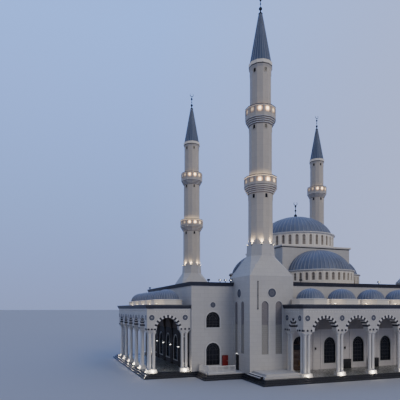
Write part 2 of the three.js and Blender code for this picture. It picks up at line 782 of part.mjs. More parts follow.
// Windows through the flats of a drum, from one flat number to another
function drumWindows(drum, window, first, last) {
  const cutters = [];
  const outline = pointedOutline(0, window.half, window.sill, window.top);
  for (let i = first; i <= last; i += 1) {
    const shape = new THREE.Shape(outline);
    const settings = { depth: DRUM_WINDOW_REACH, bevelEnabled: false };
    const geometry = new THREE.ExtrudeGeometry(shape, settings);
    geometry.rotateX(QUARTER);
    geometry.translate(0, -drum.inner + PAST, 0);
    geometry.rotateZ(i * 2 * Math.PI / DRUM_SIDES);
    cutters.push(solidOf(geometry));
  }
  return cutters;
}

function mainDrum() {
  return cut(drumWall(MAIN_DRUM), drumWindows(MAIN_DRUM, MAIN_DRUM_WINDOW, 0, DRUM_SIDES - 1));
}

function mainDome() {
  const dome = { ...MAIN_DOME, base: MAIN_DOME.base + GAP };
  const shell = turned(domeProfile(dome, DOME_SKIN, DOME_RINGS), DOME_SIDES);
  return shell.add(finial(MAIN_DOME.top, DOME_FINIAL));
}

// Half drum and half dome in a frame on the middle of the block's front face
function frontHalf(solid) {
  const reach = HALF_DRUM.ring + PAST;
  return solid.subtract(box(-reach, reach, -GAP, reach, 0, BLOCK_TOP + PAST));
}

function halfDrum() {
  const quarterFlats = DRUM_SIDES / 4 - 1;
  const windows = drumWindows(HALF_DRUM, HALF_DRUM_WINDOW, -quarterFlats, quarterFlats);
  return cut(frontHalf(drumWall(HALF_DRUM)), windows);
}

function halfDome() {
  const dome = { ...HALF_DOME, base: HALF_DOME.base + GAP };
  return frontHalf(turned(domeProfile(dome, DOME_SKIN, DOME_RINGS), DOME_SIDES));
}

function addHalfDomes() {
  ['front', 'right', 'back', 'left'].forEach((place, i) => {
    const group = new THREE.Group();
    const angle = i * QUARTER;
    group.rotation.z = angle;
    group.position.set(BLOCK_HALF * Math.sin(angle), -BLOCK_HALF * Math.cos(angle), 0);
    addPiece(group, `${place}_half_drum`, halfDrum(), stone());
    addPiece(group, `${place}_half_dome`, halfDome(), lead());
    building.add(group);
  });
}

// Porticoes, in a frame whose Y is zero on the wall behind and whose front is the arcade

function column(x, y) {
  const shaft = post(COLUMN_RADIUS, BASE_TOP - LAP, CAPITAL_LOW + LAP, x, y);
  const foot = COLUMN_RADIUS + LAP;
  const capital = taper(4, foot, CAPITAL_HALF, CAPITAL_LOW, CAPITAL_TOP + LAP, 0, x, y);
  return shaft.add(capital);
}

function base(x0, x1, y0, y1) {
  const half = BASE_HALF;
  return box(x0 - half, x1 + half, y0 - half, y1 + half, PODIUM_TOP + GAP, BASE_TOP);
}

function cornerOf(plan) {
  return plan.bay * BAYS / 2 + CORNER_PAST_PIER;
}

function arcadeArch(centre, half, rise) {
  return archOutline(centre, half, { sill: 0, spring: ARCH_SPRING, apex: ARCH_SPRING + rise });
}

// The end wall closes the portico's side, with one arch and its pier at the wall behind
function portico(plan, endAt) {
  const { bay, depth, archHalf, endArch } = plan;
  const half = cornerOf(plan);
  const t = PORTICO_THICK;
  const y0 = -depth - t;
  const top = PORTICO_EAVES - GAP;
  const parts = [box(-half - t, half + t, y0, y0 + 2 * t, CAPITAL_TOP, top)];
  const cutters = [];
  for (let i = 0; i < BAYS; i += 1) {
    const centre = (i - (BAYS - 1) / 2) * bay;
    cutters.push(upright(arcadeArch(centre, archHalf, ARCH_RISE), y0 - PAST, y0 + 2 * t + PAST));
  }
  for (const side of [-1, 1]) {
    const x = side * half;
    const opening = arcadeArch(endArch.centre, endArch.half, endArch.rise);
    parts.push(box(x - t, x + t, y0, endAt, CAPITAL_TOP, top));
    cutters.push(uprightAcross(opening, x - t - PAST, x + t + PAST));
  }
  const walls = cut(join(parts), cutters);
  const columns = [];
  const line = -depth;
  for (let i = 0; i <= BAYS; i += 1) {
    const x0 = (i - BAYS / 2) * bay - COLUMN_PITCH / 2;
    const x1 = x0 + COLUMN_PITCH;
    columns.push(column(x0, line), column(x1, line), base(x0, x1, line, line));
  }
  for (const side of [-1, 1]) {
    const x = side * half;
    const [near, far] = endArch.columns;
    columns.push(column(x, line + COLUMN_PITCH), base(x, x, line, line + COLUMN_PITCH));
    columns.push(column(x, near), column(x, far), base(x, x, near, far));
  }
  return join([walls, ...columns]);
}

function smallDome({ drumHalf, domeRadius }, x) {
  const y = -DOME_FORWARD;
  const outer = taper(SMALL_DRUM_SIDES, drumHalf, drumHalf, PORTICO_TOP - LAP, DRUM_TOP, 0, x, y);
  const low = DRUM_TOP - SMALL_DOME_SET;
  const shell = domeArc(domeRadius, DRUM_TOP, SMALL_DOME_TOP, SMALL_DOME_RINGS);
  const profile = [[0, low], [domeRadius, low], ...shell];
  return outer.add(turned(profile, SMALL_DOME_SIDES, x, y));
}

function smallDomeWell({ domeRadius }, x) {
  const radius = domeRadius - 2 * SMALL_DOME_SKIN;
  const shell = domeArc(radius, DRUM_TOP, SMALL_DOME_TOP - SMALL_DOME_SKIN, SMALL_WELL_RINGS);
  const low = PORTICO_EAVES - PAST;
  return turned([[0, low], [radius, low], ...shell], SMALL_WELL_SIDES, x, -DOME_FORWARD);
}

function porticoRoof(plan, endAt) {
  const half = cornerOf(plan) + PORTICO_THICK + EAVES_WALL;
  const front = -plan.depth - PORTICO_THICK - EAVES_WALL;
  const outline = rectangle(half, front, 0);
  const slab = eavesSlab(outline, PORTICO_EAVES, PORTICO_TOP, EAVES_OVERHANG);
  const reach = half + EAVES_OVERHANG + PAST;
  const behind = [box(-reach, reach, -GAP, PAST + EAVES_OVERHANG, 0, SMALL_DOME_TOP + PAST)];
  if (endAt < -GAP) {
    for (const side of [-1, 1]) {
      const face = TOWER_AT - TOWER_HALF - GAP;
      const xs = [side * face, side * reach].sort((a, b) => a - b);
      behind.push(box(xs[0], xs[1], endAt, PAST, 0, SMALL_DOME_TOP + PAST));
    }
  }
  const domes = [];
  const wells = [];
  for (let i = 0; i < BAYS; i += 1) {
    const x = (i - (BAYS - 1) / 2) * plan.bay;
    domes.push(smallDome(plan, x));
    wells.push(smallDomeWell(plan, x));
  }
  return cut(join([slab, ...domes]), [...behind, ...wells]);
}

function addPortico(place, turns, x, y, endAt, plan) {
  const group = new THREE.Group();
  group.rotation.z = turns * QUARTER;
  group.position.set(x, y, 0);
  addPiece(group, `${place}_arcade`, portico(plan, endAt), stone());
  addPiece(group, `${place}_portico_roof`, porticoRoof(plan, endAt), slate());
  building.add(group);
}

// Entrances of the hall

function entranceFrame(centre) {
  const y0 = -HALL_FRONT + DOOR_INSET - FRAME_PROUD;
  const y1 = y0 + FRAME_DEPTH;
  const outer = ENTRANCE_HALF - GAP;
  const inner = ENTRANCE_HALF - ENTRANCE_FRAME;
  const z0 = PODIUM_TOP + GAP;
  return join([
    box(centre - outer, centre - inner, y0, y1, z0, TRANSOM_TOP),
    box(centre + inner, centre + outer, y0, y1, z0, TRANSOM_TOP),
    box(centre - outer, centre + outer, y0, y1, TRANSOM_LOW, TRANSOM_TOP),
  ]);
}

// One leaf, hung on the left or right jamb with a round stile over a floor pin
function entranceLeaf(centre, side) {
  const hinge = centre + side * (ENTRANCE_HALF - ENTRANCE_FRAME - LEAF_CLEAR - LEAF_RADIUS);
  const meeting = centre + side * LEAF_CLEAR / 2;
  const y = -HALL_FRONT + DOOR_INSET;
  const z0 = PODIUM_TOP + LEAF_BOTTOM;
  const z1 = TRANSOM_LOW - LEAF_CLEAR;
  const xs = [hinge, meeting].sort((a, b) => a - b);
  return join([
    box(xs[0], xs[1], y - LEAF_RADIUS, y + LEAF_RADIUS, z0, z1),
    post(LEAF_RADIUS, z0, z1, hinge, y, LEAF_SIDES),
    post(PIN_RADIUS, PODIUM_TOP + GAP, z0 + LAP, hinge, y, LEAF_SIDES),
  ]);
}

function fixedEntrance(centre) {
  const y = -HALL_FRONT + DOOR_INSET;
  const inner = ENTRANCE_HALF - ENTRANCE_FRAME;
  const [x0, x1] = [centre - inner - LAP, centre + inner + LAP];
  const [y0, y1] = [y - LEAF_RADIUS, y + LEAF_RADIUS];
  const panel = box(x0, x1, y0, y1, PODIUM_TOP + GAP, TRANSOM_LOW + LAP);
  return entranceFrame(centre).add(panel);
}

// Sheets of glass, each against the inner face of its wall

function addSheet(name, x0, x1, innerFace, inward, z0, z1) {
  const low = innerFace + inward * GAP;
  const high = innerFace + inward * (GAP + GLASS);
  addPiece(building, name, box(x0, x1, Math.min(low, high), Math.max(low, high), z0, z1), glass());
}

function addGlass() {
  const hallInner = -HALL_FRONT + WALL;
  const hallLow = HALL_WINDOW.sill - GLASS_MARGIN;
  const hallTop = HALL_WINDOW.apex + GLASS_MARGIN;
  const doorTop = ENTRANCE.apex + GLASS_MARGIN;
  const wingLow = LOWER_WINDOW.sill - GLASS_MARGIN;
  const wingTop = UPPER_WINDOW.apex + GLASS_MARGIN;
  const door = ENTRANCE_HALF + GLASS_MARGIN;
  const hallPane = HALL_WINDOW_HALF + GLASS_MARGIN;
  const wingPane = WING_WINDOW_HALF + GLASS_MARGIN;
  const backReach = WINDOWS_EACH_SIDE * BAY + wingPane;
  const sideReach = WINDOWS_EACH_SIDE * SIDE_BAY + hallPane;
  const [sideY0, sideY1] = [SIDE_MIDDLE - sideReach, SIDE_MIDDLE + sideReach];
  const [x0, x1] = [-ENTRANCE_AT - door, -ENTRANCE_AT + door];
  addSheet('left_fanlight_glass', x0, x1, hallInner, 1, TRANSOM_LOW, doorTop);
  addSheet('front_window_glass', -BAY - hallPane, ENTRANCE_AT + door, hallInner, 1, hallLow, doorTop);
  addSheet('back_window_glass', -backReach, backReach, HALL_FRONT - WALL, -1, wingLow, wingTop);
  for (const [place, side] of [['left', -1], ['right', 1]]) {
    const x0 = side * WING_WINDOW_X - wingPane;
    const x1 = side * WING_WINDOW_X + wingPane;
    for (const [end, face] of [['front', -1], ['back', 1]]) {
      const inner = face * (WING_FRONT - WALL);
      addSheet(`${place}_wing_${end}_glass`, x0, x1, inner, -face, wingLow, wingTop);
    }
    const inner = side * (WING_SIDE - WALL - GAP);
    const xs = [inner, inner - side * GLASS].sort((a, b) => a - b);
    const pane = box(xs[0], xs[1], sideY0, sideY1, hallLow, hallTop);
    addPiece(building, `${place}_wing_side_glass`, pane, glass());
  }
}

function hoseCabinet() {
  const { x, half, depth, low, top } = CABINET;
  const back = -WING_FRONT - GAP;
  return box(x - half, x + half, back - depth, back, low, top);
}

// The whole building

function assemble() {
  addPiece(building, 'podium', podium(), granite());
  for (const [place, side] of [['left', -1], ['right', 1]]) {
    addPiece(building, `${place}_terrace`, terrace(side), stone());
    addPiece(building, `${place}_landing`, landing(side), stone());
    addPiece(building, `${place}_wing_walls`, wingWalls(side), stone());
  }
  addMinaret('front_left', 0, -1, -1, 'left');
  addMinaret('front_right', 1, 1, -1, 'front');
  addMinaret('back_right', 2, 1, 1, null);
  addMinaret('back_left', 3, -1, 1, null);
  hallFrontWalls();
  addPiece(building, 'back_wall', hallBackWall(), stone());
  addPiece(building, 'hall_roof', hallRoof(), slate());
  addPiece(building, 'crossing_block', crossingBlock(), stone());
  addPiece(building, 'main_drum', mainDrum(), stone());
  addPiece(building, 'main_dome', mainDome(), lead());
  addHalfDomes();
  const frontEnd = -(TOWER_AT + TOWER_HALF) + HALL_FRONT - GAP;
  addPortico('front', 0, 0, -HALL_FRONT, frontEnd, FRONT_PORTICO);
  addPortico('left', -1, -WING_SIDE, SIDE_MIDDLE, -GAP, SIDE_PORTICO);
  addPortico('right', 1, WING_SIDE, SIDE_MIDDLE, -GAP, SIDE_PORTICO);
  addPiece(building, 'left_entrance_frame', entranceFrame(-ENTRANCE_AT), timber());
  addPiece(building, 'left_entrance_leaf_a', entranceLeaf(-ENTRANCE_AT, -1), timber());
  addPiece(building, 'left_entrance_leaf_b', entranceLeaf(-ENTRANCE_AT, 1), timber());
  addPiece(building, 'right_entrance_doors', fixedEntrance(ENTRANCE_AT), timber());
  addGlass();
  addPiece(building, 'hose_cabinet', hoseCabinet(), redPaint());
}

assemble();
building.scale.setScalar(MODEL_MM_PER_METRE);

export default building;
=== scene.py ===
"""The looks of a mosque with four minarets, a central dome on half domes and three porticoes.

Lengths are in metres of the real building, with X to the right along the front, Y to the back
and Z up. The model is half that size, so every mesh is made SCALE times as large.
"""

import json
import math
from collections import namedtuple

import bmesh
import bpy
from mathutils import Matrix, Vector

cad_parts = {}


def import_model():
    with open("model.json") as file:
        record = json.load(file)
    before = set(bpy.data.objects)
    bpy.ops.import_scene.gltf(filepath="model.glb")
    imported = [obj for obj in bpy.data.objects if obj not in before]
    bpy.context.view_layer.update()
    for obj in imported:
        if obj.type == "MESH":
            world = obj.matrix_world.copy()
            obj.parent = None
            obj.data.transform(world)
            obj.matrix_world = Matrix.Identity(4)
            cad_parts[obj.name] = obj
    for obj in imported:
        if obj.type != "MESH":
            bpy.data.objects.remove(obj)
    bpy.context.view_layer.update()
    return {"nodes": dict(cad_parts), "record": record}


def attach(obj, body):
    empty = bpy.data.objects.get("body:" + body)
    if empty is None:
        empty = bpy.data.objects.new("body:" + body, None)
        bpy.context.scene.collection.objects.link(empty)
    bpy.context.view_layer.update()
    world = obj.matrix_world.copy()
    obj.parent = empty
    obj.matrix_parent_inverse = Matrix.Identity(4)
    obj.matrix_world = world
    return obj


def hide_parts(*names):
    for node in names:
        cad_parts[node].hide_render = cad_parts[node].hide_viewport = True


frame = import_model()

SCALE = 0.5
SMOOTH_ANGLE = 32.0
ARC_STEPS = 14
STONE_ROUGHNESS = 0.62

# Plan and levels. Each tower is given by its side, front or back, and the turn of its trim.
TOWER_AT = 16.8
TOWER_HALF = 3.6
TOWERS = {
    "front_left": (-1, -1, 0),
    "front_right": (1, -1, 90),
    "back_right": (1, 1, 180),
    "back_left": (-1, 1, 270),
}
HALL_FRONT = 18.8
WING_FRONT = 14.45
WING_SIDE = 27.3
WALL = 0.5
PODIUM_TOP = 0.7
LANDING_TOP = 0.82
EAVES_TOP = 14.36

# Porticoes, each in a frame whose Y is 0 on the wall behind and whose arcade is in front
Plan = namedtuple("Plan", "place bay line arch_half end_at end_arch near drum dome")
BAYS = 5
FRONT_BAY = 5.55
SIDE_BAY = 4.85
PORTICO_THICK = 0.5
CORNER_PAST_PIER = 0.35
COLUMN_PITCH = 0.62
BASE_TOP = 1.22
CAPITAL_TOP = 6.85
ARCH_SPRING = 7.07
ARCH_RISE = 1.85
RING_WIDTH = 0.4
VOUSSOIRS = 21
END_VOUSSOIRS = 13
DOT_HEIGHT = 7.2
FRIEZE_LINE = 9.6
FRIEZE_MIDDLE = 9.86
FRIEZE_TOP = 10.12
PORTICO_EAVES = 10.28
PORTICO_TOP = 10.88
EAVES_WALL = 0.12
EAVES_OVERHANG = 0.22
DRUM_TOP = 11.7
SMALL_DOME_TOP = 13.36
DOME_FORWARD = 2.95
WALL_LAMP_HEIGHT = 4.0
BACK_WALL_TOP = 7.0


def side_plan(side):
    """The plan of the left or right portico."""
    place = (side * WING_SIDE, -1.2, side * 90)
    return Plan(place, SIDE_BAY, -6.3, 1.55, 0.0, (-3.6, 1.77, 1.85), (-1.24, -0.62), 2.3, 1.95)


PORTICOES = {
    "front": Plan((0.0, -HALL_FRONT, 0), FRONT_BAY, -6.15, 1.85, -1.6,
                  (-4.1, 0.85, 1.5), (-2.81, -2.19), 2.6, 2.04),
    "left": side_plan(-1),
    "right": side_plan(1),
}

# Windows: half width, sill, spring and apex
LOWER_WINDOW = (1.13, 1.55, 3.88, 5.01)
UPPER_WINDOW = (1.13, 7.36, 8.65, 9.78)
HALL_WINDOW = (1.09, 1.63, 4.55, 5.78)
ENTRANCE = (1.15, PODIUM_TOP, 4.75, 6.0)
ENTRANCE_AT = 2 * FRONT_BAY
TRANSOM_TOP = 3.85
BAR_HALF = 0.022
WING_WINDOW_X = 23.8
NICHE = (0.58, 3.56, 10.8, 11.4)
NICHE_AT = 1.15
NICHE_CHANGE = 7.9
MAIN_DRUM_WINDOW = (0.3, 22.4, 24.0, 24.3)
HALF_DRUM_WINDOW = (0.27, 15.3, 16.4, 16.67)

# Roundels, as height and radius
PORTICO_ROUNDEL = (8.93, 0.44)
TOWER_ROUNDEL = (12.6, 0.69)
WING_ROUNDEL = (10.85, 0.45)

# Large domes and their drums
BLOCK_HALF = 7.4
MAIN_DRUM_RADIUS = 7.4
MAIN_DRUM_LOW = 22.1
MAIN_CORNICE = 24.5
MAIN_DOME = (7.08, 24.84, 28.9)
MAIN_MOULDING = (
    (7.1, 24.46), (7.44, 24.46), (7.5, 24.54), (7.7, 24.6), (7.75, 24.66), (7.75, 24.8), (7.2, 24.88),
)
HALF_DRUM_RADIUS = 6.55
HALF_CORNICE = 16.9
HALF_DOME = (6.14, 17.22, 21.28)
HALF_MOULDING = (
    (6.2, 16.84), (6.58, 16.84), (6.64, 16.92), (6.78, 17.0), (6.82, 17.06), (6.82, 17.18), (6.2, 17.26),
)
DRUM_FLATS = 36
LARGE_RIB = (0.17, 0.09)
SMALL_RIB = (0.11, 0.05)
SPIRE_RIB = (0.09, 0.04)
CRESCENT_RADIUS = 0.42

# Minarets: distance from the axis to a flat of the shaft at each storey, then each balcony
# as its distance to a flat, the foot of its corbel, its slab's foot and top, and its rail's top
SHAFT_SIDES = 12
SHAFT_TURNS = [360 / SHAFT_SIDES * i for i in range(SHAFT_SIDES)]
LOW_SHAFT = 1.86
MIDDLE_SHAFT = 1.74
HIGH_SHAFT = 1.61
Balcony = namedtuple("Balcony", "half corbel slab floor rail")
LOW_BALCONY = Balcony(2.5, 27.8, 28.82, 29.28, 30.45)
HIGH_BALCONY = Balcony(2.34, 38.3, 39.32, 39.72, 41.05)
COLLAR_TOP = 48.05
SPIRE_TIP = 59.5
UPLIGHT_RADIUS = 2.03
UPLIGHT_TURNS = [22.5 + 45 * k for k in range(8)]

# Doors
DOOR_INSET = 0.14
LEAF_HALF_THICK = 0.04
ENTRANCE_LEAF = (0.72, 3.69)
TOWER_DOOR_INSET = 0.1
TOWER_LEAF = (0.84, 3.19)
PULL_HEIGHT = 1.8

# Landings and their rails
LANDING_LONG = 5.7
LANDING_DEEP = 4.15
SLAB_THICK = 0.03
RAIL_HIGH = 1.1
GATE_WIDE = 1.5
POST = 0.065
BALUSTER = 0.03
FRONT_BALUSTERS = 26
SIDE_BALUSTERS = 22

# Fittings: each floodlight as x, y and whether it is lit, and places of the others
FLOODLIGHTS = (
    (-24.5, -14.4, False), (-22.6, -14.4, True), (-21.7, -14.4, True), (-20.8, -14.4, True),
    (-27.2, 14.0, False), (-10.8, -18.7, False), (4.3, -18.7, True), (21.7, -14.4, True),
    (24.5, -14.4, False),
)
POLE_LAMP = (-20.75, -14.2)
DOWNPIPE_X = -19.11
CABINET_X = -21.83
CUPBOARD_X = 2.775
STEP_ENDS = (-24.4, -20.7)

# Lights and camera
WARM = (1.0, 0.76, 0.48)
PALE_WARM = (1.0, 0.87, 0.68)
DAYLIGHT = (1.0, 0.93, 0.84)
SUN_PLACE = (24, -75, 52)
SUN_STRENGTH = 0.64
SUN_WIDTH = 24
UPLIGHT_POWER = 60.0
COLUMN_LAMP_POWER = 10.0
DRUM_LAMP_POWER = 6.0
CAMERA_PLACE = (-23.99, -38.20, 5.125)
CAMERA_TURN = -19.6
LENS = 38.67
LENS_SHIFT = 0.272


def at(x=0.0, y=0.0, turn=0.0):
    """A place: moved to x and y, and turned by degrees about the upright."""
    return Matrix.Translation((x, y, 0.0)) @ Matrix.Rotation(math.radians(turn), 4, "Z")


def about(middle, half):
    """Two values, as far below a middle one as above it."""
    return (middle - half, middle + half)


def on_side(side, near, far, x=0.0):
    """Two values of x on one side of a middle, the lower first."""
    return sorted((x + side * near, x + side * far))


def corners(x, y):
    """The corners of a rectangle, from two values in each direction."""
    return [(x[0], y[0]), (x[1], y[0]), (x[1], y[1]), (x[0], y[1])]


def circle(radius, sides, turn=0.0):
    """Points round a circle, the first on its right, turned by degrees."""
    angles = [math.radians(turn) + 2 * math.pi * i / sides for i in range(sides)]
    return [(radius * math.cos(angle), radius * math.sin(angle)) for angle in angles]


def arc_of(half, rise):
    """The radius of each side of a pointed arch, how far its centre is inset, and its sweep."""
    radius = (half * half + rise * rise) / (2 * half)
    inset = radius - half
    return radius, inset, math.acos(inset / radius)


def arch(centre, half, spring, apex, grow=0.0, steps=ARC_STEPS):
    """Points over an arch, from its left spring to its right one, grown outwards if asked."""
    radius, inset, _ = arc_of(half, apex - spring)
    sweep = math.acos(inset / (radius + grow))
    points = []
    for i in range(-steps, steps + 1):
        angle = sweep * (1 - abs(i) / steps)
        reach = (radius + grow) * math.cos(angle) - inset
        points.append((centre + math.copysign(reach, i), spring + (radius + grow) * math.sin(angle)))
    return points


def opening(centre, window, grow=0.0):
    """The outline of an arched opening, from the left end of its sill round to the right end."""
    half, sill, spring, apex = window
    head = arch(centre, half, spring, apex, grow)
    return [(centre - half - grow, sill), *head, (centre + half + grow, sill)]


def dome_profile(radius, base, top, rings):
    """(radius, height) pairs up a dome, between one arc and half an ellipse, from base to top."""
    rise = top - base
    sphere = (radius * radius + rise * rise) / (2 * rise)
    start = math.asin(min(1.0, radius / sphere))
    pairs = []
    for i in range(rings + 1):
        angle = start * (1 - i / rings)
        turn = math.pi / 2 * i / rings
        arc = (sphere * math.sin(angle), top - sphere + sphere * math.cos(angle))
        oval = (radius * math.cos(turn), base + rise * math.sin(turn))
        pairs.append(((arc[0] + oval[0]) / 2, (arc[1] + oval[1]) / 2))
    return pairs


class Shape:
    """Solids gathered for one piece, each face with the name of its look."""

    def __init__(self, place=None):
        self.place = place or Matrix()
        self.points = []
        self.faces = []
        self.looks = []

    def add(self, points, faces, looks):
        first = len(self.points)
        self.points += [self.place @ Vector(point) for point in points]
        self.faces += [[first + i for i in face] for face in faces]
        self.looks += looks

    def loft(self, rings, look, closed=False, capped=True):
        """A skin over rings of points, which may end in a single point.

        The look is one name, or a list of names for the faces round each ring.
        """
        names = look if isinstance(look, list) else [look]
        starts = []
        points = []
        for ring in rings:
            starts.append(len(points))
            points += ring
        pairs = [(i, i + 1) for i in range(len(rings) - 1)]
        if closed:
            pairs.append((len(rings) - 1, 0))
        faces = []
        looks = []
        for a, b in pairs:
            count = max(len(rings[a]), len(rings[b]))
            for i in range(count):
                j = (i + 1) % count
                low = [starts[a] + i, starts[a] + j] if len(rings[a]) > 1 else [starts[a]]
                high = [starts[b] + j, starts[b] + i] if len(rings[b]) > 1 else [starts[b]]
                faces.append(low + high)
                looks.append(names[i % len(names)])
        if capped and not closed:
            for ring, start in ((rings[0], starts[0]), (rings[-1], starts[-1])):
                if len(ring) > 2:
                    faces.append(list(range(start, start + len(ring))))
                    looks.append(names[-1])
        self.add(points, faces, looks)

    def box(self, x, y, z, look):
        """A block between two values in each of x, y and z."""
        self.level([(corners(x, y), height) for height in z], look)

    def pair(self, near, far, y, z, look, x=0.0):
        """Two alike blocks, one on each side of a middle."""
        for side in (-1, 1):
            self.box(on_side(side, near, far, x), y, z, look)

    def taper(self, low, high, look):
        """A block from one rectangle (x0, x1, y0, y1, z) to another."""
        self.level([(corners((a, b), (c, d)), z) for a, b, c, d, z in (low, high)], look)

    def upright(self, outline, y, look):
        """A slab whose outline is in x and z, between two values of y."""
        self.loft([[(px, depth, pz) for px, pz in outline] for depth in y], look)

    def level(self, rings, look):
        """A solid over level outlines, each as (outline in x and y, height)."""
        self.loft([[(px, py, z) for px, py in outline] for outline, z in rings], look)

    def band(self, inner, outer, y, look, closed=False):
        """A strip between two outlines in x and z, between two values of y."""
        rings = []
        for (ax, az), (bx, bz) in zip(inner, outer):
            rings.append([(ax, y[0], az), (bx, y[0], bz), (bx, y[1], bz), (ax, y[1], az)])
        self.loft(rings, look, closed)

    def rim(self, x, window, inner, outer, y, look):
        """A strip round an arched opening, between two distances outside its edge."""
        self.band(opening(x, window, inner), opening(x, window, outer), y, look)

    def framed(self, x, window, half, low, top, y, look, closed=True):
        """A wall panel round an arched opening, open at the foot for a door."""
        inner = opening(x, window)
        count = len(inner) - 5
        outline = [(x - half, low), (x - half, window[2])]
        outline += [(x - half + 2 * half * k / count, top) for k in range(count + 1)]
        outline += [(x + half, window[2]), (x + half, low)]
        self.band(inner, outline, y, look, closed)

    def turned(self, profile, sides, look, x=0.0, y=0.0, turn=0.0):
        """A solid turned on an upright axis, from (radius, height) pairs."""
        rings = []
        for radius, z in profile:
            points = circle(radius, sides, turn) if radius > 1e-6 else [(0.0, 0.0)]
            rings.append([(x + px, y + py, z) for px, py in points])
        self.loft(rings, look)

    def swept(self, section, first, last, steps, look):
        """A section of (radius, height) pairs carried round the axis, between two angles in degrees.

        Angle 0 is the front, and angles grow to the right.
        """
        whole = abs(last - first - 360) < 1e-6
        rings = []
        for i in range(steps if whole else steps + 1):
            angle = math.radians(first + (last - first) * i / steps)
            rings.append([(r * math.sin(angle), -r * math.cos(angle), z) for r, z in section])
        self.loft(rings, look, closed=whole)

    def disc(self, x, z, radius, y, look, sides=24):
        """A round plate on an upright face."""
        self.upright([(x + px, z + pz) for px, pz in circle(radius, sides)], y, look)

    def hoop(self, x, z, inner, outer, y, look, sides=24):
        """A round ring on an upright face."""
        rims = [[(x + px, z + pz) for px, pz in circle(radius, sides)] for radius in (inner, outer)]
        self.band(*rims, y, look, closed=True)

    def rod(self, start, end, radius, look, sides=8):
        """A round bar between two points."""
        turn = (Vector(end) - Vector(start)).to_track_quat("Z", "Y")
        section = [turn @ Vector((px, py, 0)) for px, py in circle(radius, sides)]
        self.loft([[tuple(Vector(tip) + point) for point in section] for tip in (start, end)], look)


def make(name, shape, replaces=(), body="building", smooth=SMOOTH_ANGLE, where=None):
    """Makes a piece from a shape, which stands for the CAD nodes that it replaces."""
    mesh = bpy.data.meshes.new(name)
    looks = list(dict.fromkeys(shape.looks))
    mesh.from_pydata([point * SCALE for point in shape.points], [], shape.faces)
    for look in looks:
        mesh.materials.append(LOOKS[look])
    mesh.polygons.foreach_set("material_index", [looks.index(look) for look in shape.looks])
    outward = bmesh.new()
    outward.from_mesh(mesh)
    bmesh.ops.recalc_face_normals(outward, faces=outward.faces)
    outward.to_mesh(mesh)
    outward.free()
    mesh.shade_smooth()
    mesh.set_sharp_from_angle(angle=math.radians(smooth))
    piece = bpy.data.objects.new(name, mesh)
    if where:
        piece.matrix_world = at(where[0] * SCALE, where[1] * SCALE)
    bpy.context.scene.collection.objects.link(piece)
    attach(piece, body)
    if replaces:
        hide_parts(*replaces)
    return piece


# Materials

class Nodes:
    """A node tree, with short ways to add and join nodes."""

    def __init__(self, tree):
        self.tree = tree
        self.places = self.node("TexCoord")

    def put(self, socket, value):
        """Joins another node's output to a socket, or gives the socket a value."""
        if isinstance(value, bpy.types.NodeSocket):
            self.tree.links.new(value, socket)
        elif socket.type == "RGBA":
            socket.default_value = (*value, 1.0)
        else:
            socket.default_value = value

    def node(self, kind, values=None, **settings):
        node = self.tree.nodes.new("ShaderNode" + kind)
        for name, value in settings.items():
            setattr(node, name, value)
        for name, value in (values or {}).items():
            self.put(node.inputs[name], value)
        return node

    def maths(self, operation, a, b=0.0):
        return self.node("Math", {0: a, 1: b}, operation=operation).outputs[0]

    def times(self, a, b):
        return self.maths("MULTIPLY", a, b)

    def plus(self, a, b):
        return self.maths("ADD", a, b)

    def blend(self, factor, a, b, kind="MIX"):
        """Two colours mixed."""
        node = self.node("Mix", data_type="RGBA", blend_type=kind)
        for socket, value in zip((node.inputs[0], node.inputs[6], node.inputs[7]), (factor, a, b)):
            self.put(socket, value)
        return node.outputs[2]

    def choose(self, factor, a, b):
        """One of two numbers, or a mix of them."""
        node = self.node("Mix", data_type="FLOAT")
        for socket, value in zip((node.inputs[0], node.inputs[2], node.inputs[3]), (factor, a, b)):
            self.put(socket, value)
        return node.outputs[0]

    def ramp(self, value, low, high):
        """A number spread from 0 at low to 1 at high."""
        return self.node("MapRange", {"Value": value, "From Min": low, "From Max": high}).outputs[0]

    def split(self, name):
        """The three numbers of one of the places' vectors."""
        return self.node("SeparateXYZ", {0: self.places.outputs[name]}).outputs


class Look(Nodes):
    """A material's nodes."""

    def __init__(self, name, roughness, metallic=0.0):
        self.material = bpy.data.materials.new(name)
        self.material.use_nodes = True
        super().__init__(self.material.node_tree)
        self.shader = self.tree.nodes["Principled BSDF"]
        self.set("Roughness", roughness)
        self.set("Metallic", metallic)

    def set(self, name, value):
        self.put(self.shader.inputs[name], value)

    def noise(self, scale, detail=4.0, stretch=(1.0, 1.0, 1.0)):
        places = self.places.outputs["Object"]
        if stretch != (1.0, 1.0, 1.0):
            places = self.node("Mapping", {"Vector": places, "Scale": stretch}).outputs[0]
        return self.node("TexNoise", {"Vector": places, "Scale": scale, "Detail": detail}).outputs[0]

    def wall_places(self):
        """Along and up an upright face, or x and y on a level one."""
        x, y, z = self.split("Object")
        nx, _, nz = self.split("Normal")
        across = self.maths("GREATER_THAN", self.maths("ABSOLUTE", nx), 0.7)
        level = self.maths("GREATER_THAN", self.maths("ABSOLUTE", nz), 0.7)
        plane = {0: self.choose(across, x, y), 1: self.choose(level, z, y)}
        return self.node("CombineXYZ", plane).outputs[0]

    def round_places(self, radius):
        """Along and up a round face about the piece's own axis."""
        x, y, z = self.split("Object")
        along = self.times(self.maths("ARCTAN2", y, x), radius)
        return self.node("CombineXYZ", {0: along, 1: z}).outputs[0]

    def vary_roughness(self, value, low, high):
        self.set("Roughness", self.choose(self.ramp(value, 0.3, 0.7), low, high))

    def bump(self, height, strength, distance):
        node = self.node("Bump", {"Height": height, "Strength": strength, "Distance": distance})
        self.set("Normal", node.outputs[0])


def shade(colour, share):
    """A colour made darker or lighter."""
    return tuple(share * c for c in colour)


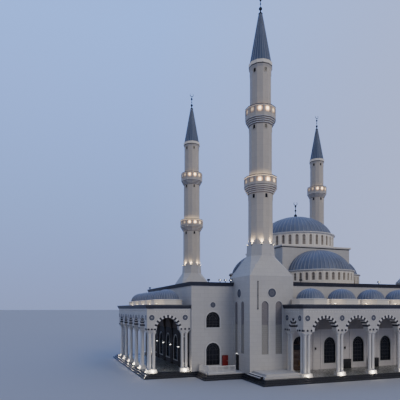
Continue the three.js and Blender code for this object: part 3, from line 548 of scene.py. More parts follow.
def stone(name, light, places=None, panel=(1.2, 0.6), vary=0.95, joint=0.012, dirt=0.12, glow=0.0):
    """Stone cladding in panels, each a little lighter or darker, with faint streaks, and if asked a warm glow
    of painted floodlight.
    """
    look = Look(name, STONE_ROUGHNESS)
    plane = places(look) if places else look.wall_places()
    bricks = look.node("TexBrick", {
        "Vector": plane,
        "Color1": light,
        "Color2": shade(light, vary),
        "Mortar": shade(light, 0.8 * vary),
        "Scale": 1.0,
        "Mortar Size": joint * SCALE,
        "Mortar Smooth": 0.3,
        "Brick Width": panel[0] * SCALE,
        "Row Height": panel[1] * SCALE,
    })
    cloud = look.noise(0.45, 5.0)
    streaks = look.noise(1.0, 5.0, (3.2, 3.2, 0.22))
    wear = look.times(look.ramp(streaks, 0.45, 0.8), dirt)
    tone = look.blend(look.ramp(cloud, 0.3, 0.75), (0.92, 0.93, 0.97), (1.0, 1.0, 1.0))
    colour = look.blend(1.0, bricks.outputs[0], tone, "MULTIPLY")
    colour = look.blend(wear, colour, shade(light, 0.6))
    look.set("Base Color", colour)
    grain = look.noise(38.0, 6.0)
    look.vary_roughness(grain, STONE_ROUGHNESS - 0.08, STONE_ROUGHNESS + 0.12)
    joints = look.times(bricks.outputs[1], -1.0)
    look.bump(look.plus(joints, look.times(grain, 0.12)), 0.3, 0.008)
    # Painted floodlight: a warm emission on the stone itself.
    if glow:
        look.set("Emission Color", look.blend(cloud, (1.0, 0.8, 0.52), (1.0, 0.88, 0.68)))
        look.set("Emission Strength", glow)
    return look


def shaft_stone():
    """Stone of a minaret's shaft, with the warm light of the lamps inside each balcony painted on as an
    emission that fades upwards from just over its rail.
    """
    look = stone("shaft_stone", (0.6, 0.55, 0.48), lambda it: it.round_places(0.9), (0.94, 0.9))
    _, _, z = look.split("Object")
    # Painted lamp light: a warm emission that fades upwards from each balcony rail.
    glow = 0.0
    for rail, height, strength in ((30.2, 1.5, 0.85), (40.8, 1.1, 0.2)):
        above = look.ramp(z, rail * SCALE, (rail + height) * SCALE)
        started = look.maths("GREATER_THAN", z, rail * SCALE)
        fade = look.maths("POWER", look.maths("SUBTRACT", 1.0, above), 2.0)
        part = look.times(look.times(started, fade), strength)
        glow = look.plus(glow, part)
    look.set("Emission Color", (1.0, 0.72, 0.42))
    look.set("Emission Strength", glow)
    return look


def lead(name, light, roughness=0.55, patch=0.9):
    """Blue-grey sheet metal, weathered in soft patches."""
    look = Look(name, roughness, 0.15)
    patches = look.noise(patch, 5.0)
    runs = look.noise(1.6, 6.0, (2.4, 2.4, 0.35))
    fine = look.noise(24.0, 5.0)
    colour = look.blend(look.ramp(patches, 0.3, 0.72), shade(light, 0.78), light)
    pale = look.times(look.ramp(runs, 0.55, 0.85), 0.25)
    look.set("Base Color", look.blend(pale, colour, shade(light, 1.5)))
    look.vary_roughness(fine, roughness - 0.08, roughness + 0.12)
    look.bump(look.plus(patches, look.times(fine, 0.15)), 0.2, 0.015)
    return look


def granite(name, base, fleck, slab=(1.2, 0.6), roughness=0.3):
    """Polished granite in slabs, with pale and black flecks."""
    look = Look(name, roughness)
    bricks = look.node("TexBrick", {
        "Vector": look.wall_places(),
        "Color1": base,
        "Color2": shade(base, 1.2),
        "Mortar": shade(base, 0.35),
        "Scale": 1.0,
        "Mortar Size": 0.005,
        "Brick Width": slab[0] * SCALE,
        "Row Height": slab[1] * SCALE,
    })
    grains = look.node("TexVoronoi", {"Vector": look.places.outputs["Object"], "Scale": 70.0})
    spots = look.ramp(look.noise(55.0, 2.0), 0.56, 0.68)
    colour = look.blend(look.times(spots, 0.5), bricks.outputs[0], fleck)
    tint = look.blend(0.2, (1.0, 1.0, 1.0), grains.outputs["Color"])
    look.set("Base Color", look.blend(1.0, colour, tint, "MULTIPLY"))
    look.vary_roughness(look.noise(6.0), roughness, roughness + 0.2)
    look.bump(look.times(bricks.outputs[1], -1.0), 0.3, 0.005)
    return look


def timber(name, light, dark):
    """Varnished brown wood with upright grain."""
    look = Look(name, 0.38)
    grain = look.noise(5.0, 8.0, (9.0, 9.0, 0.6))
    pores = look.noise(40.0, 4.0, (6.0, 6.0, 0.5))
    colour = look.blend(look.ramp(grain, 0.3, 0.7), dark, light)
    worn = look.times(look.ramp(pores, 0.5, 0.75), 0.5)
    look.set("Base Color", look.blend(worn, colour, dark))
    look.set("Coat Weight", 0.35)
    look.bump(look.plus(grain, look.times(pores, 0.4)), 0.2, 0.004)
    return look


def painted(name, light, dark, roughness=0.45, metallic=0.0):
    """Paint or dull metal, slightly uneven, worn paler in fine spots."""
    look = Look(name, roughness, metallic)
    cloud = look.noise(4.0, 6.0)
    fine = look.noise(60.0, 4.0)
    look.set("Base Color", look.blend(look.ramp(cloud, 0.3, 0.7), dark, light))
    look.vary_roughness(fine, roughness - 0.1, roughness + 0.15)
    look.bump(look.plus(cloud, look.times(fine, 0.3)), 0.12, 0.003)
    return look


def slate(name, light, dark):
    """Dark navy roofing metal with a seam each 0.6 m along the edge."""
    look = Look(name, 0.5, 0.15)
    x, y, _ = look.split("Object")
    nx, _, _ = look.split("Normal")
    across = look.maths("GREATER_THAN", look.maths("ABSOLUTE", nx), 0.5)
    along = look.maths("FRACT", look.maths("DIVIDE", look.choose(across, x, y), 0.6 * SCALE))
    seam = look.ramp(look.maths("ABSOLUTE", look.maths("SUBTRACT", along, 0.5)), 0.46, 0.49)
    cloud = look.noise(1.2, 6.0)
    colour = look.blend(look.ramp(cloud, 0.3, 0.7), dark, light)
    look.set("Base Color", look.blend(look.times(seam, 0.5), colour, shade(dark, 0.4)))
    look.vary_roughness(look.noise(20.0), 0.42, 0.62)
    look.bump(look.plus(seam, look.times(cloud, 0.3)), 0.3, 0.01)
    return look


def glass(name):
    """Dark glazing, with a faint unevenness in what it reflects."""
    look = Look(name, 0.08)
    wave = look.noise(1.4, 3.0)
    tone = look.blend(look.ramp(wave, 0.3, 0.7), (0.006, 0.007, 0.01), (0.014, 0.016, 0.024))
    look.set("Base Color", tone)
    look.set("Roughness", look.choose(wave, 0.08, 0.2))
    look.set("Specular IOR Level", 0.3)
    look.bump(wave, 0.05, 0.02)
    return look


def lamp(name, colour, strength):
    """A lit lens, brightest in the middle of each grain of its frosting."""
    look = Look(name, 0.3)
    frost = look.noise(80.0, 2.0)
    look.set("Base Color", look.blend(frost, colour, (1.0, 0.96, 0.88)))
    look.set("Emission Color", look.blend(frost, colour, (1.0, 0.93, 0.8)))
    look.set("Emission Strength", strength)
    return look


def lit_panel(name, centre_z, strength):
    """Stone lattice of a parapet panel, with a warm glow painted on around the middle of each side, as if lit
    from behind.
    """
    look = Look(name, 0.6)
    x, y, z = look.split("Object")
    turn = look.times(look.maths("ARCTAN2", y, x), SHAFT_SIDES / (2 * math.pi))
    aside = look.maths("SUBTRACT", look.maths("FRACT", look.plus(turn, 0.5)), 0.5)
    across = look.times(aside, 2.6)
    above = look.times(look.maths("SUBTRACT", z, centre_z * SCALE), 3.4)
    squares = [look.maths("POWER", look.maths("ABSOLUTE", way), 2.0) for way in (across, above)]
    far = look.plus(*squares)
    glow = look.maths("POWER", 2.718, look.times(far, -3.6))
    mesh = look.noise(14.0, 3.0)
    tone = look.blend(look.ramp(mesh, 0.35, 0.65), (0.26, 0.24, 0.22), (0.5, 0.47, 0.43))
    look.set("Base Color", tone)
    look.set("Emission Color", look.blend(glow, (1.0, 0.5, 0.2), (1.0, 0.84, 0.56)))
    look.set("Emission Strength", look.times(glow, strength))
    look.bump(mesh, 0.3, 0.01)
    return look


PLAIN = {"panel": (2.4, 1.2), "joint": 0.006, "dirt": 0.08}
# The painted glow on the parapet panels: its strengths, the strength each panel takes in turn, and the height
# of its middle at each balcony.
LAMP_STRENGTHS = (6.0, 3.0, 8.0, 0.9)
LIT_PANELS = (2, 1, 3, 3, 3, 0)
LIT_HEIGHTS = {"low": 29.68, "high": 40.4}
LOOKS = {
    "stone": stone("white_stone", (0.6, 0.585, 0.56)),
    "trim": stone("white_trim", (0.74, 0.725, 0.7), **PLAIN),
    # Paler stone with a warm emission, as painted floodlight, for the drums, their pilasters and the pale
    # bands.
    "lit_stone": stone("floodlight_painted_stone", (0.78, 0.75, 0.7), glow=0.07, **PLAIN),
    "shaft_stone": shaft_stone(),
    # Copies of the wall stone for the porticoes: the front one's wall paler than the outer stone as painted
    # light, and its vault darker as painted shade; the side ones' wall near black and vault dark brown, as
    # painted shade.
    "inner": stone("portico_wall", (0.76, 0.72, 0.7)),
    "lunette": stone("portico_vault", (0.42, 0.38, 0.355), panel=(0.6, 0.3)),
    "dark_inner": stone("deep_painted_shade_portico_wall", (0.055, 0.043, 0.036)),
    "dark_lunette": stone("deep_painted_shade_portico_vault", (0.17, 0.125, 0.09), panel=(0.6, 0.3)),
    # Dark stone for the hollows under the corbels' fillets, as painted shade.
    "cove": stone("corbel_painted_shade", (0.24, 0.2, 0.17), **PLAIN),
    "niche_low": stone("niche_infill", (0.37, 0.355, 0.325), panel=(0.3, 0.3), joint=0.02),
    "niche_high": stone("niche_lattice", (0.29, 0.27, 0.28), panel=(0.2, 0.2), joint=0.03, vary=0.85),
    "charcoal": stone("dark_stone", (0.03, 0.033, 0.05), **PLAIN),
    "rosette_ring": stone("rosette_ring", (0.08, 0.092, 0.135), **PLAIN),
    "rosette": stone("rosette_stone", (0.14, 0.15, 0.19), **PLAIN),
    "lead": lead("dome_lead", (0.165, 0.2, 0.29)),
    "rib": lead("rib_lead", (0.27, 0.3, 0.38)),
    "spire_lead": lead("spire_lead", (0.1, 0.14, 0.235), patch=0.6),
    "slate": slate("eaves_slate", (0.052, 0.056, 0.08), (0.032, 0.035, 0.055)),
    "slate_edge": slate("eaves_edge", (0.16, 0.17, 0.2), (0.11, 0.12, 0.15)),
    "granite": granite("dark_granite", (0.022, 0.025, 0.036), (0.09, 0.095, 0.12)),
    "floor_slab": granite("portico_floor", (0.27, 0.28, 0.265), (0.4, 0.41, 0.4), (0.9, 0.9), 0.2),
    "window_glass": glass("window_glass"),
    "drum_pane": painted("drum_pane", (0.42, 0.37, 0.31), (0.32, 0.28, 0.24), 0.3),
    "timber": timber("brown_timber", (0.085, 0.042, 0.027), (0.03, 0.016, 0.011)),
    "dark_metal": painted("dark_metal", (0.04, 0.043, 0.052), (0.02, 0.022, 0.028), 0.42, 0.6),
    "bar_metal": painted("bar_metal", (0.07, 0.068, 0.078), (0.045, 0.045, 0.055), 0.5, 0.3),
    "rail_metal": painted("rail_metal", (0.8, 0.79, 0.77), (0.7, 0.69, 0.68), 0.4),
    "brass": painted("brass", (0.5, 0.36, 0.14), (0.34, 0.23, 0.08), 0.32, 0.9),
    "red_paint": painted("red_paint", (0.3, 0.012, 0.01), (0.2, 0.008, 0.008), 0.4),
    "lamp": lamp("warm_lamp", (1.0, 0.74, 0.42), 14.0),
    "white_lamp": lamp("white_lamp", (0.9, 0.95, 1.0), 6.0),
}
# Looks with a painted glow for the parapet panels, one for each strength at each balcony.
for storey, panel_z in LIT_HEIGHTS.items():
    for number, power in enumerate(LAMP_STRENGTHS):
        LOOKS[f"lit_{storey}_{number}"] = lit_panel(f"lit_panel_{storey}_{number}", panel_z, power)
LOOKS = {name: look.material for name, look in LOOKS.items()}


def dress_cad_nodes():
    """Gives each CAD node the look that has the name of its slot in the record."""
    for part in frame["record"]["subparts"]:
        node = frame["nodes"][part["node"]]
        node.data.materials.clear()
        node.data.materials.append(LOOKS[part["material_slot"]])


# Windows, in a frame whose Y is 0 on the wall's outer face, growing inwards

def arch_height(window, aside):
    """How high an arched opening is at a distance from its middle."""
    half, _, spring, apex = window
    radius, inset, _ = arc_of(half, apex - spring)
    return spring + math.sqrt(max(0.0, radius ** 2 - (abs(aside) + inset) ** 2))


def surround(shape, x, window, sill=True):
    """A pale frame round an arched opening, and its sill."""
    half, low, _, _ = window
    shape.rim(x, window, 0.0, 0.18, (-0.06, 0.03), "trim")
    shape.rim(x, window, 0.13, 0.18, (-0.09, 0.0), "trim")
    if sill:
        shape.box(about(x, half + 0.25), (-0.11, 0.08), (low - 0.14, low), "trim")


def lattice(shape, x, window, columns, rows):
    """A dark lining and frame, with upright bars, cross bars and round bars in the head."""
    half, low, spring, apex = window
    shape.rim(x, window, -0.02, 0.01, (0.05, WALL - 0.02), "dark_metal")
    shape.rim(x, window, -0.1, 0.0, (0.06, 0.16), "dark_metal")
    shape.box(about(x, half), (0.06, 0.16), (low, low + 0.1), "dark_metal")
    for i in range(1, columns):
        aside = half * (2 * i / columns - 1)
        shape.box(about(x + aside, BAR_HALF), (0.09, 0.13), (low, arch_height(window, aside)), "bar_metal")
    for i in range(1, rows + 1):
        z = low + (spring - low) * i / rows
        shape.box(about(x, half), (0.085, 0.13), about(z, BAR_HALF), "bar_metal")
    for share in (0.4, 0.72):
        top = spring + (apex - spring) * share
        head = arch(x, half * share, spring, top)
        shape.band(head, arch(x, half * share, spring, top, 0.045), (0.085, 0.13), "bar_metal")


def window_places():
    """Every window, as its wall's place, its x on that wall and its outline."""
    placed = [(at(0, -HALL_FRONT), x, HALL_WINDOW) for x in (-FRONT_BAY, 0.0, FRONT_BAY)]
    storeys = (LOWER_WINDOW, UPPER_WINDOW)
    for side in (-1, 1):
        for window in storeys:
            for wall in (at(0, -WING_FRONT), at(0, WING_FRONT, 180)):
                placed.append((wall, side * WING_WINDOW_X, window))
        plan = side_plan(side)
        placed += [(at(*plan.place), x, HALL_WINDOW) for x in bay_middles(plan)]
    for x in bay_middles(PORTICOES["front"]):
        placed += [(at(0, HALL_FRONT, 180), x, window) for window in storeys]
    return placed


def windows():
    """Surrounds, bars and panes of every window, and the surrounds and fanlights of the entrances."""
    trim = Shape()
    bars = Shape()
    panes = Shape()
    for place, x, window in window_places():
        trim.place = bars.place = panes.place = place
        surround(trim, x, window)
        lattice(bars, x, window, 4, 5 if window is HALL_WINDOW else 3)
        panes.upright(opening(x, window, -0.01), (0.14, 0.17), "window_glass")
    trim.place = bars.place = at(0, -HALL_FRONT)
    for x in (-ENTRANCE_AT, ENTRANCE_AT):
        surround(trim, x, ENTRANCE, sill=False)
        fanlight(bars, x)
    make("window_surrounds", trim)
    make("window_bars", bars)
    make("window_panes", panes)


def fanlight(shape, x):
    """The arched light over a double door, with bars like a fan."""
    half, _, spring, apex = ENTRANCE
    outline = [arch(x, half, spring, apex, grow) for grow in (-0.16, -0.04)]
    shape.band(*outline, (0.2, 0.3), "timber")
    shape.pair(half - 0.18, half - 0.04, (0.2, 0.3), (TRANSOM_TOP, spring), "timber", x)
    shape.box(about(x, half), (0.2, 0.28), about(spring, 0.04), "timber")
    for i in range(1, 6):
        angle = math.pi * i / 6
        reach = 0.98 * (half + (apex - spring - half) * math.sin(angle))
        end = (x + reach * math.cos(angle), 0.25, spring + reach * math.sin(angle))
        shape.rod((x, 0.25, spring), end, 0.03, "timber", 6)


def roundel(shape, x, z, radius, dot=False):
    """A dark blue-grey disc with eight slightly paler petals, in a thin white rim."""
    shape.hoop(x, z, radius * 0.96, radius * 1.08, (-0.05, 0.04), "trim")
    shape.disc(x, z, radius * 0.98, (-0.025, 0.04), "rosette_ring")
    shape.disc(x, z, radius * 0.52, (-0.04, 0.0), "rosette")
    for px, pz in circle(radius * 0.56, 8):
        shape.disc(x + px, z + pz, radius * 0.13, (-0.045, 0.0), "rosette", 10)
    size, look = (0.15, "trim") if dot else (0.12, "rosette_ring")
    shape.disc(x, z, radius * size, (-0.06, 0.0), look, 12)


# Porticoes

def corner_of(plan):
    """How far the end wall's line is from the middle."""
    return plan.bay * BAYS / 2 + CORNER_PAST_PIER


def bay_middles(plan):
    """Where the middles of the bays are."""
    return [(i - (BAYS - 1) / 2) * plan.bay for i in range(BAYS)]


def bay_ends(plan):
    """Where the bays meet, with the outer end of the first and of the last."""
    return [(i - BAYS / 2) * plan.bay for i in range(BAYS + 1)]


def voussoirs(shape, x, half, rise, count):
    """The striped stones of a pointed arch, set through the wall, with a white one at each foot."""
    radius, inset, sweep = arc_of(half, rise)
    for i in range(count):
        dark = i % 2 == 0 and 0 < i < count - 1
        edges = []
        for reach in (radius, radius + RING_WIDTH + (0.0 if dark else 0.06)):
            points = []
            for step in range(4):
                t = (2 * i + 2 * step / 3) / count - 1
                angle = sweep * (1 - abs(t))
                aside = math.copysign(1.0, t) * (reach * math.cos(angle) - inset)
                points.append((x + aside, ARCH_SPRING + reach * math.sin(angle)))
            edges.append(points)
        deep = PORTICO_THICK + (0.035 if dark else 0.02)
        shape.band(*edges, (-deep, deep), "charcoal" if dark else "trim")


def arcade_wall(shape, x0, x1, arches, count=VOUSSOIRS):
    """A wall on the column line, open under its arches, with stripes and a carved frieze."""
    edge = PORTICO_THICK
    low = ARCH_SPRING - 0.02
    outline = [(x0, low)]
    for x, half, rise in arches:
        outline += [(x - half - 0.02, low), *arch(x, half, ARCH_SPRING, ARCH_SPRING + rise, 0.02)]
        outline += [(x + half + 0.02, low)]
    outline += [(x1, low), (x1, PORTICO_EAVES), (x0, PORTICO_EAVES)]
    shape.upright(outline, (-edge, edge), "stone")
    for x, half, rise in arches:
        voussoirs(shape, x, half, rise, count)
    shape.box((x0, x1), (-edge - 0.03, -edge), (FRIEZE_LINE, FRIEZE_LINE + 0.05), "trim")
    shape.box((x0, x1), (-edge - 0.05, -edge), (FRIEZE_TOP, PORTICO_EAVES), "trim")
    motifs = round((x1 - x0) / 0.46)
    for i in range(motifs):
        carving(shape, x0 + (x1 - x0) * (i + 0.5) / motifs, FRIEZE_MIDDLE, -edge)


def carving(shape, x, z, y):
    """One raised motif of the frieze: a lozenge under a small arch."""
    half = 0.1
    rim = [(x - half, y, z), (x, y, z + half * 1.3), (x + half, y, z), (x, y, z - half * 1.3)]
    shape.loft([rim, [(x, y - 0.03, z)]], "trim", capped=False)
    head = arch(x, 0.15, z + 0.02, z + 0.17, steps=3)
    shape.band(head, arch(x, 0.15, z + 0.02, z + 0.17, 0.03, steps=3), (y - 0.02, y), "trim")


def pier(shape, x, half):
    """The foot of the wall over two columns: a tapering block, with three dark dots over it."""
    edge = PORTICO_THICK
    shape.taper((x - half * 0.72, x + half * 0.72, -0.36, 0.36, CAPITAL_TOP),
                (x - half, x + half, -edge, edge, ARCH_SPRING), "trim")
    for aside in (-half * 0.68, 0.0, half * 0.68):
        for y in (-edge - 0.03, edge - 0.01):
            shape.disc(x + aside, DOT_HEIGHT, 0.16, (y, y + 0.04), "charcoal", 12)


def column(shape, x, y):
    """A round shaft between a moulded foot and a carved capital."""
    foot = [(0.3, BASE_TOP), (0.3, 1.28), (0.26, 1.33), (0.23, 1.4)]
    shaft = [(0.23, 3.5), (0.215, 6.3), (0.25, 6.33), (0.25, 6.39), (0.22, 6.42)]
    capital = [(0.23, 6.5), (0.29, 6.62), (0.3, 6.68), (0.33, 6.76)]
    shape.turned(foot + shaft + capital, 20, "trim", x, y)
    shape.box(about(x, 0.33), about(y, 0.33), (6.74, CAPITAL_TOP + 0.01), "trim")
    for low, high in zip(circle(0.24, 8, 22.5), circle(0.34, 8, 22.5)):
        shape.rod((x + low[0], y + low[1], 6.5), (x + high[0], y + high[1], 6.72), 0.04, "trim", 5)


def plinth(shape, x, y):
    """The block under one or two columns, between two values of x and of y."""
    rings = []
    for out, z in ((0.44, PODIUM_TOP), (0.44, 0.82), (0.4, 0.86), (0.38, 1.12), (0.4, 1.16), (0.4, BASE_TOP)):
        rings.append((corners((x[0] - out, x[1] + out), (y[0] - out, y[1] + out)), z))
    shape.level(rings, "trim")


def end_place(plan, side, middle):
    """The frame of an end wall, whose front faces out to that side."""
    return at(side * corner_of(plan), middle, side * 90)


def pier_middles(plan):
    """Where the piers of the arcade are; those at the ends reach to the corners."""
    last = corner_of(plan) - CORNER_PAST_PIER / 2
    return [-last, *bay_ends(plan)[1:-1], last]


def arcade(name, plan):
    """The walls over the columns of one portico, on its front and its two ends."""
    base = at(*plan.place)
    walls = Shape(base @ at(0, plan.line))
    reach = corner_of(plan) + PORTICO_THICK
    arcade_wall(walls, -reach, reach, [(x, plan.arch_half, ARCH_RISE) for x in bay_middles(plan)])
    for x in pier_middles(plan):
        walls.place = base @ at(0, plan.line)
        pier(walls, x, plan.bay / 2 - plan.arch_half)
        walls.place = base @ at(0, plan.line - PORTICO_THICK)
        roundel(walls, x, *PORTICO_ROUNDEL, dot=True)
    inner_end = plan.line + PORTICO_THICK
    middle = (inner_end + plan.end_at) / 2
    half = (plan.end_at - inner_end) / 2
    end_arch, end_half, end_rise = plan.end_arch
    count = VOUSSOIRS if end_half > 1 else END_VOUSSOIRS
    for side in (-1, 1):
        walls.place = base @ end_place(plan, side, middle)
        arcade_wall(walls, -half, half, [((end_arch - middle) * side, end_half, end_rise)], count)
        end_piers(walls, base, plan, side)
    make(f"{name}_arcade_walls", walls, [f"{name}_arcade"])


def arcade_columns(name, plan):
    """The columns of one portico, in twos along its front and down its two ends."""
    shape = Shape(at(*plan.place))
    for middle in bay_ends(plan):
        left = middle - COLUMN_PITCH / 2
        pair = (left, left + COLUMN_PITCH)
        plinth(shape, pair, (plan.line, plan.line))
        for x in pair:
            column(shape, x, plan.line)
    for side in (-1, 1):
        x = side * corner_of(plan)
        second = plan.line + COLUMN_PITCH
        plinth(shape, (x, x), (plan.line, second))
        plinth(shape, (x, x), plan.near)
        for y in (second, *plan.near):
            column(shape, x, y)
    make(f"{name}_arcade_columns", shape)


def end_piers(shape, base, plan, side):
    """The piers, dots and roundels on the end wall's outer face."""
    end_arch, end_half, _ = plan.end_arch
    height, radius = PORTICO_ROUNDEL
    for low, high in ((plan.line - PORTICO_THICK, end_arch - end_half), (end_arch + end_half, plan.end_at)):
        half = (high - low) / 2
        place = base @ end_place(plan, side, (low + high) / 2)
        shape.place = place
        pier(shape, 0.0, half)
        shape.place = place @ at(0, -PORTICO_THICK)
        roundel(shape, 0.0, height, min(radius, half * 0.75), dot=True)


def inside(name, plan):
    """The wall behind the arcade, the arches that carry the domes, the ceiling and the floor."""
    shape = Shape(at(*plan.place))
    is_front = name == "front"
    back = plan.line + PORTICO_THICK
    reach = corner_of(plan) - 0.4
    # The front portico's wall stone is paler as painted light, the side porticoes' near black as painted
    # shade, and the vault stone darker as painted shade.
    wall_look, vault = ("inner", "lunette") if is_front else ("dark_inner", "dark_lunette")
    for x in bay_middles(plan):
        entrance = is_front and math.isclose(abs(x), ENTRANCE_AT)
        back_bay(shape, x, plan.bay / 2, entrance, wall_look, vault)
    for x in bay_ends(plan)[1:-1]:
        shape.box(about(x, 0.38), (-0.14, 0.0), (PODIUM_TOP, CAPITAL_TOP), wall_look)
        for z in ((PODIUM_TOP, 1.0), (6.6, CAPITAL_TOP)):
            shape.box(about(x, 0.44), (-0.2, 0.0), z, wall_look)
        cross_arch(shape, x, back, vault)
        wall_lamp(shape, x, not is_front)
    if is_front:
        for x in (-CUPBOARD_X, CUPBOARD_X):
            cupboard(shape, x)
    shape.box((-reach, reach), (back, 0.0), (10.1, PORTICO_EAVES), vault)
    floor_half = ENTRANCE_AT + 2.0 if is_front else reach
    floor_z = (PODIUM_TOP, PODIUM_TOP + 0.015)
    shape.box((-floor_half, floor_half), (plan.line - 0.42, 0.0), floor_z, "floor_slab")
    make(f"{name}_portico_inside", shape)


def back_bay(shape, x, half_bay, entrance, wall_look, vault):
    """The wall behind one bay, round its window or entrance, with strips up both sides."""
    window = ENTRANCE if entrance else HALL_WINDOW
    shape.framed(x, window, half_bay, PODIUM_TOP, BACK_WALL_TOP, (-0.04, 0.0), wall_look, closed=not entrance)
    lunette(shape, x, half_bay, wall_look, vault)
    shape.pair(1.62, 1.76, (-0.1, 0.0), (PODIUM_TOP, 6.9), wall_look, x)
    if not entrance:
        shape.box(about(x, 1.4), (-0.06, 0.0), (PODIUM_TOP + 0.2, 1.45), wall_look)


def lunette(shape, x, half_bay, wall_look, vault):
    """The blind arch over each bay of the wall behind, filled with the vault's stone, which is darker as
    painted shade.
    """
    head = arch(x, half_bay - 0.45, BACK_WALL_TOP, 9.4)
    last = len(head) - 1
    above = [(x - half_bay + 2 * half_bay * k / last, 10.2) for k in range(1, last)]
    outline = [(x - half_bay, BACK_WALL_TOP), *above, (x + half_bay, BACK_WALL_TOP)]
    shape.band(head, outline, (-0.12, 0.0), wall_look)
    shape.upright(head, (-0.05, 0.0), vault)


def cross_arch(shape, x, back, look):
    """An arch from the arcade to the wall behind, over the space between two bays."""
    middle = back / 2
    half = -back / 2 - 0.3
    low, high = about(middle, half)
    head = arch(middle, half, ARCH_SPRING, ARCH_SPRING + half * 0.98)
    outline = [(back, CAPITAL_TOP), (low, CAPITAL_TOP), *head, (high, CAPITAL_TOP)]
    outline += [(0.0, CAPITAL_TOP), (0.0, PORTICO_EAVES), (back, PORTICO_EAVES)]
    rings = [[(side_x, py, pz) for py, pz in outline] for side_x in about(x, 0.3)]
    shape.loft(rings, look)


def wall_lamp(shape, x, lit):
    """A small lantern on a pilaster."""
    z = WALL_LAMP_HEIGHT
    shape.box(about(x, 0.05), (-0.24, -0.14), about(z, 0.1), "dark_metal")
    case = [(0.04, z - 0.2), (0.1, z - 0.12), (0.1, z + 0.12), (0.0, z + 0.24)]
    shape.turned(case, 8, "dark_metal", x, -0.3)
    if lit:
        shape.turned([(0.11, z - 0.04), (0.12, z), (0.11, z + 0.04)], 8, "white_lamp", x, -0.3)


def cupboard(shape, x):
    """A dark cupboard on the floor, against the wall."""
    shape.box(about(x, 0.92), (-0.6, -0.14), (PODIUM_TOP, 2.12), "dark_metal")
    shape.box(about(x, 0.96), (-0.64, -0.14), (2.12, 2.18), "dark_metal")
    for k in range(4):
        low = x - 0.9 + 0.45 * k
        fielded(shape, (low + 0.02, low + 0.43), (PODIUM_TOP + 0.1, 2.08), -0.6, -0.025, "dark_metal")


def portico_eaves(name, plan):
    """The sloped slate slab over one portico, with a paler upright edge."""
    end = corner_of(plan) + PORTICO_THICK + EAVES_WALL
    front = plan.line - PORTICO_THICK - EAVES_WALL
    notch = TOWER_AT - TOWER_HALF
    over = EAVES_OVERHANG
    slope = [(0.0, PORTICO_EAVES), (0.02, 10.34), (over - 0.04, 10.68), (over - 0.04, 10.76)]
    slab = Shape(at(*plan.place))
    for look, rows in (("slate", slope), ("slate_edge", [(over, 10.76), (over, PORTICO_TOP)])):
        rings = []
        for out, z in rows:
            right = [(end + out, front - out), (end + out, plan.end_at), (notch, plan.end_at), (notch, 0.0)]
            left = [(-px, py) for px, py in reversed(right)]
            rings.append((right + left, z))
        slab.level(rings, look)
    make(f"{name}_portico_eaves", slab, [f"{name}_portico_roof"])


def small_domes(name, plan):
    """White drums and ribbed domes in a row on one portico."""
    drums = Shape(at(*plan.place))
    domes = Shape(at(*plan.place))
    profile = dome_profile(plan.dome, DRUM_TOP + 0.02, SMALL_DOME_TOP - 0.06, 9)
    knob = [(0.16, 13.22), (0.08, 13.3), (0.1, 13.33), (0.0, SMALL_DOME_TOP)]
    for x in bay_middles(plan):
        small_drum(drums, plan.drum, x, -DOME_FORWARD)
        ribbed_dome(domes, profile, 28, SMALL_RIB, "lead", (x, -DOME_FORWARD))
        domes.turned(knob, 10, "lead", x, -DOME_FORWARD)
    make(f"{name}_portico_drums", drums)
    make(f"{name}_portico_domes", domes)


def small_drum(shape, half, x, y):
    """An eight-sided drum with a moulded top edge, in paler stone with painted floodlight."""
    to_corner = 1 / math.cos(math.pi / 8)
    wall = [(half, PORTICO_TOP), (half, 11.0), (half - 0.05, 11.05), (half - 0.05, 11.5)]
    edge = [(half, 11.56), (half + 0.03, 11.66), (half - 0.35, DRUM_TOP + 0.02)]
    shape.turned([(r * to_corner, z) for r, z in wall + edge], 8, "lit_stone", x, y, 22.5)


def ribbed_dome(shape, profile, ribs, rib, look, centre=(0.0, 0.0), first=0.0, last=360.0):
    """A dome shell with raised paler ribs running up it, whole or half."""
    width, height = rib
    step = math.radians((last - first) / ribs)
    whole = abs(last - first - 360) < 1e-6
    rings = []
    names = []
    for radius, z in profile:
        if radius < 0.02:
            rings.append([(*centre, z)])
            continue
        half = min(width / (2 * radius), step * 0.3)
        up = height * min(1.0, radius / profile[0][0] * 4)
        ring = []
        names = []
        for i in range(ribs if whole else ribs + 1):
            angle = math.radians(first) + step * i
            points = [(-half, 0.0, "rib"), (-half * 0.6, up, "rib"),
                      (half * 0.6, up, "rib"), (half, 0.0, look)]
            if not whole and i == 0:
                points = points[2:]
            if not whole and i == ribs:
                points = [points[0], (0.0, up, look)]
            for turn, out, name in points:
                reach = radius + out
                way = angle + turn
                ring.append((centre[0] + reach * math.sin(way), centre[1] - reach * math.cos(way), z))
                names.append(name)
        rings.append(ring)
    shape.loft(rings, names)


# Drums with windows, and the large domes

def drum(shape, outer, z, window, first, last):
    """Flats of a drum between two heights, each with an arched window between pilasters, in paler stone with
    painted floodlight.
    """
    half = outer * math.tan(math.pi / DRUM_FLATS)
    w_half, sill, spring, apex = window
    base = shape.place.copy()
    for i in range(first, last + 1):
        shape.place = base @ at(turn=360 / DRUM_FLATS * i) @ at(0, -outer)
        shape.framed(0, window, half, *z, (0.0, 0.3), "lit_stone")
        shape.rim(0, window, -0.005, 0.06, (-0.03, 0.02), "lit_stone")
        shape.pair(half - 0.11, half, (-0.06, 0.0), (sill - 0.1, z[1]), "lit_stone")
        shape.box((-half, half), (-0.06, 0.02), (sill - 0.18, sill - 0.08), "lit_stone")
        shape.box((-w_half, w_half), (0.1, 0.14), (sill, apex), "drum_pane")
        shape.box((-0.018, 0.018), (0.07, 0.1), (sill, apex), "dark_metal")
        for bar in (sill + (spring - sill) / 2, spring):
            shape.box((-w_half, w_half), (0.07, 0.1), about(bar, 0.018), "dark_metal")
    shape.place = base


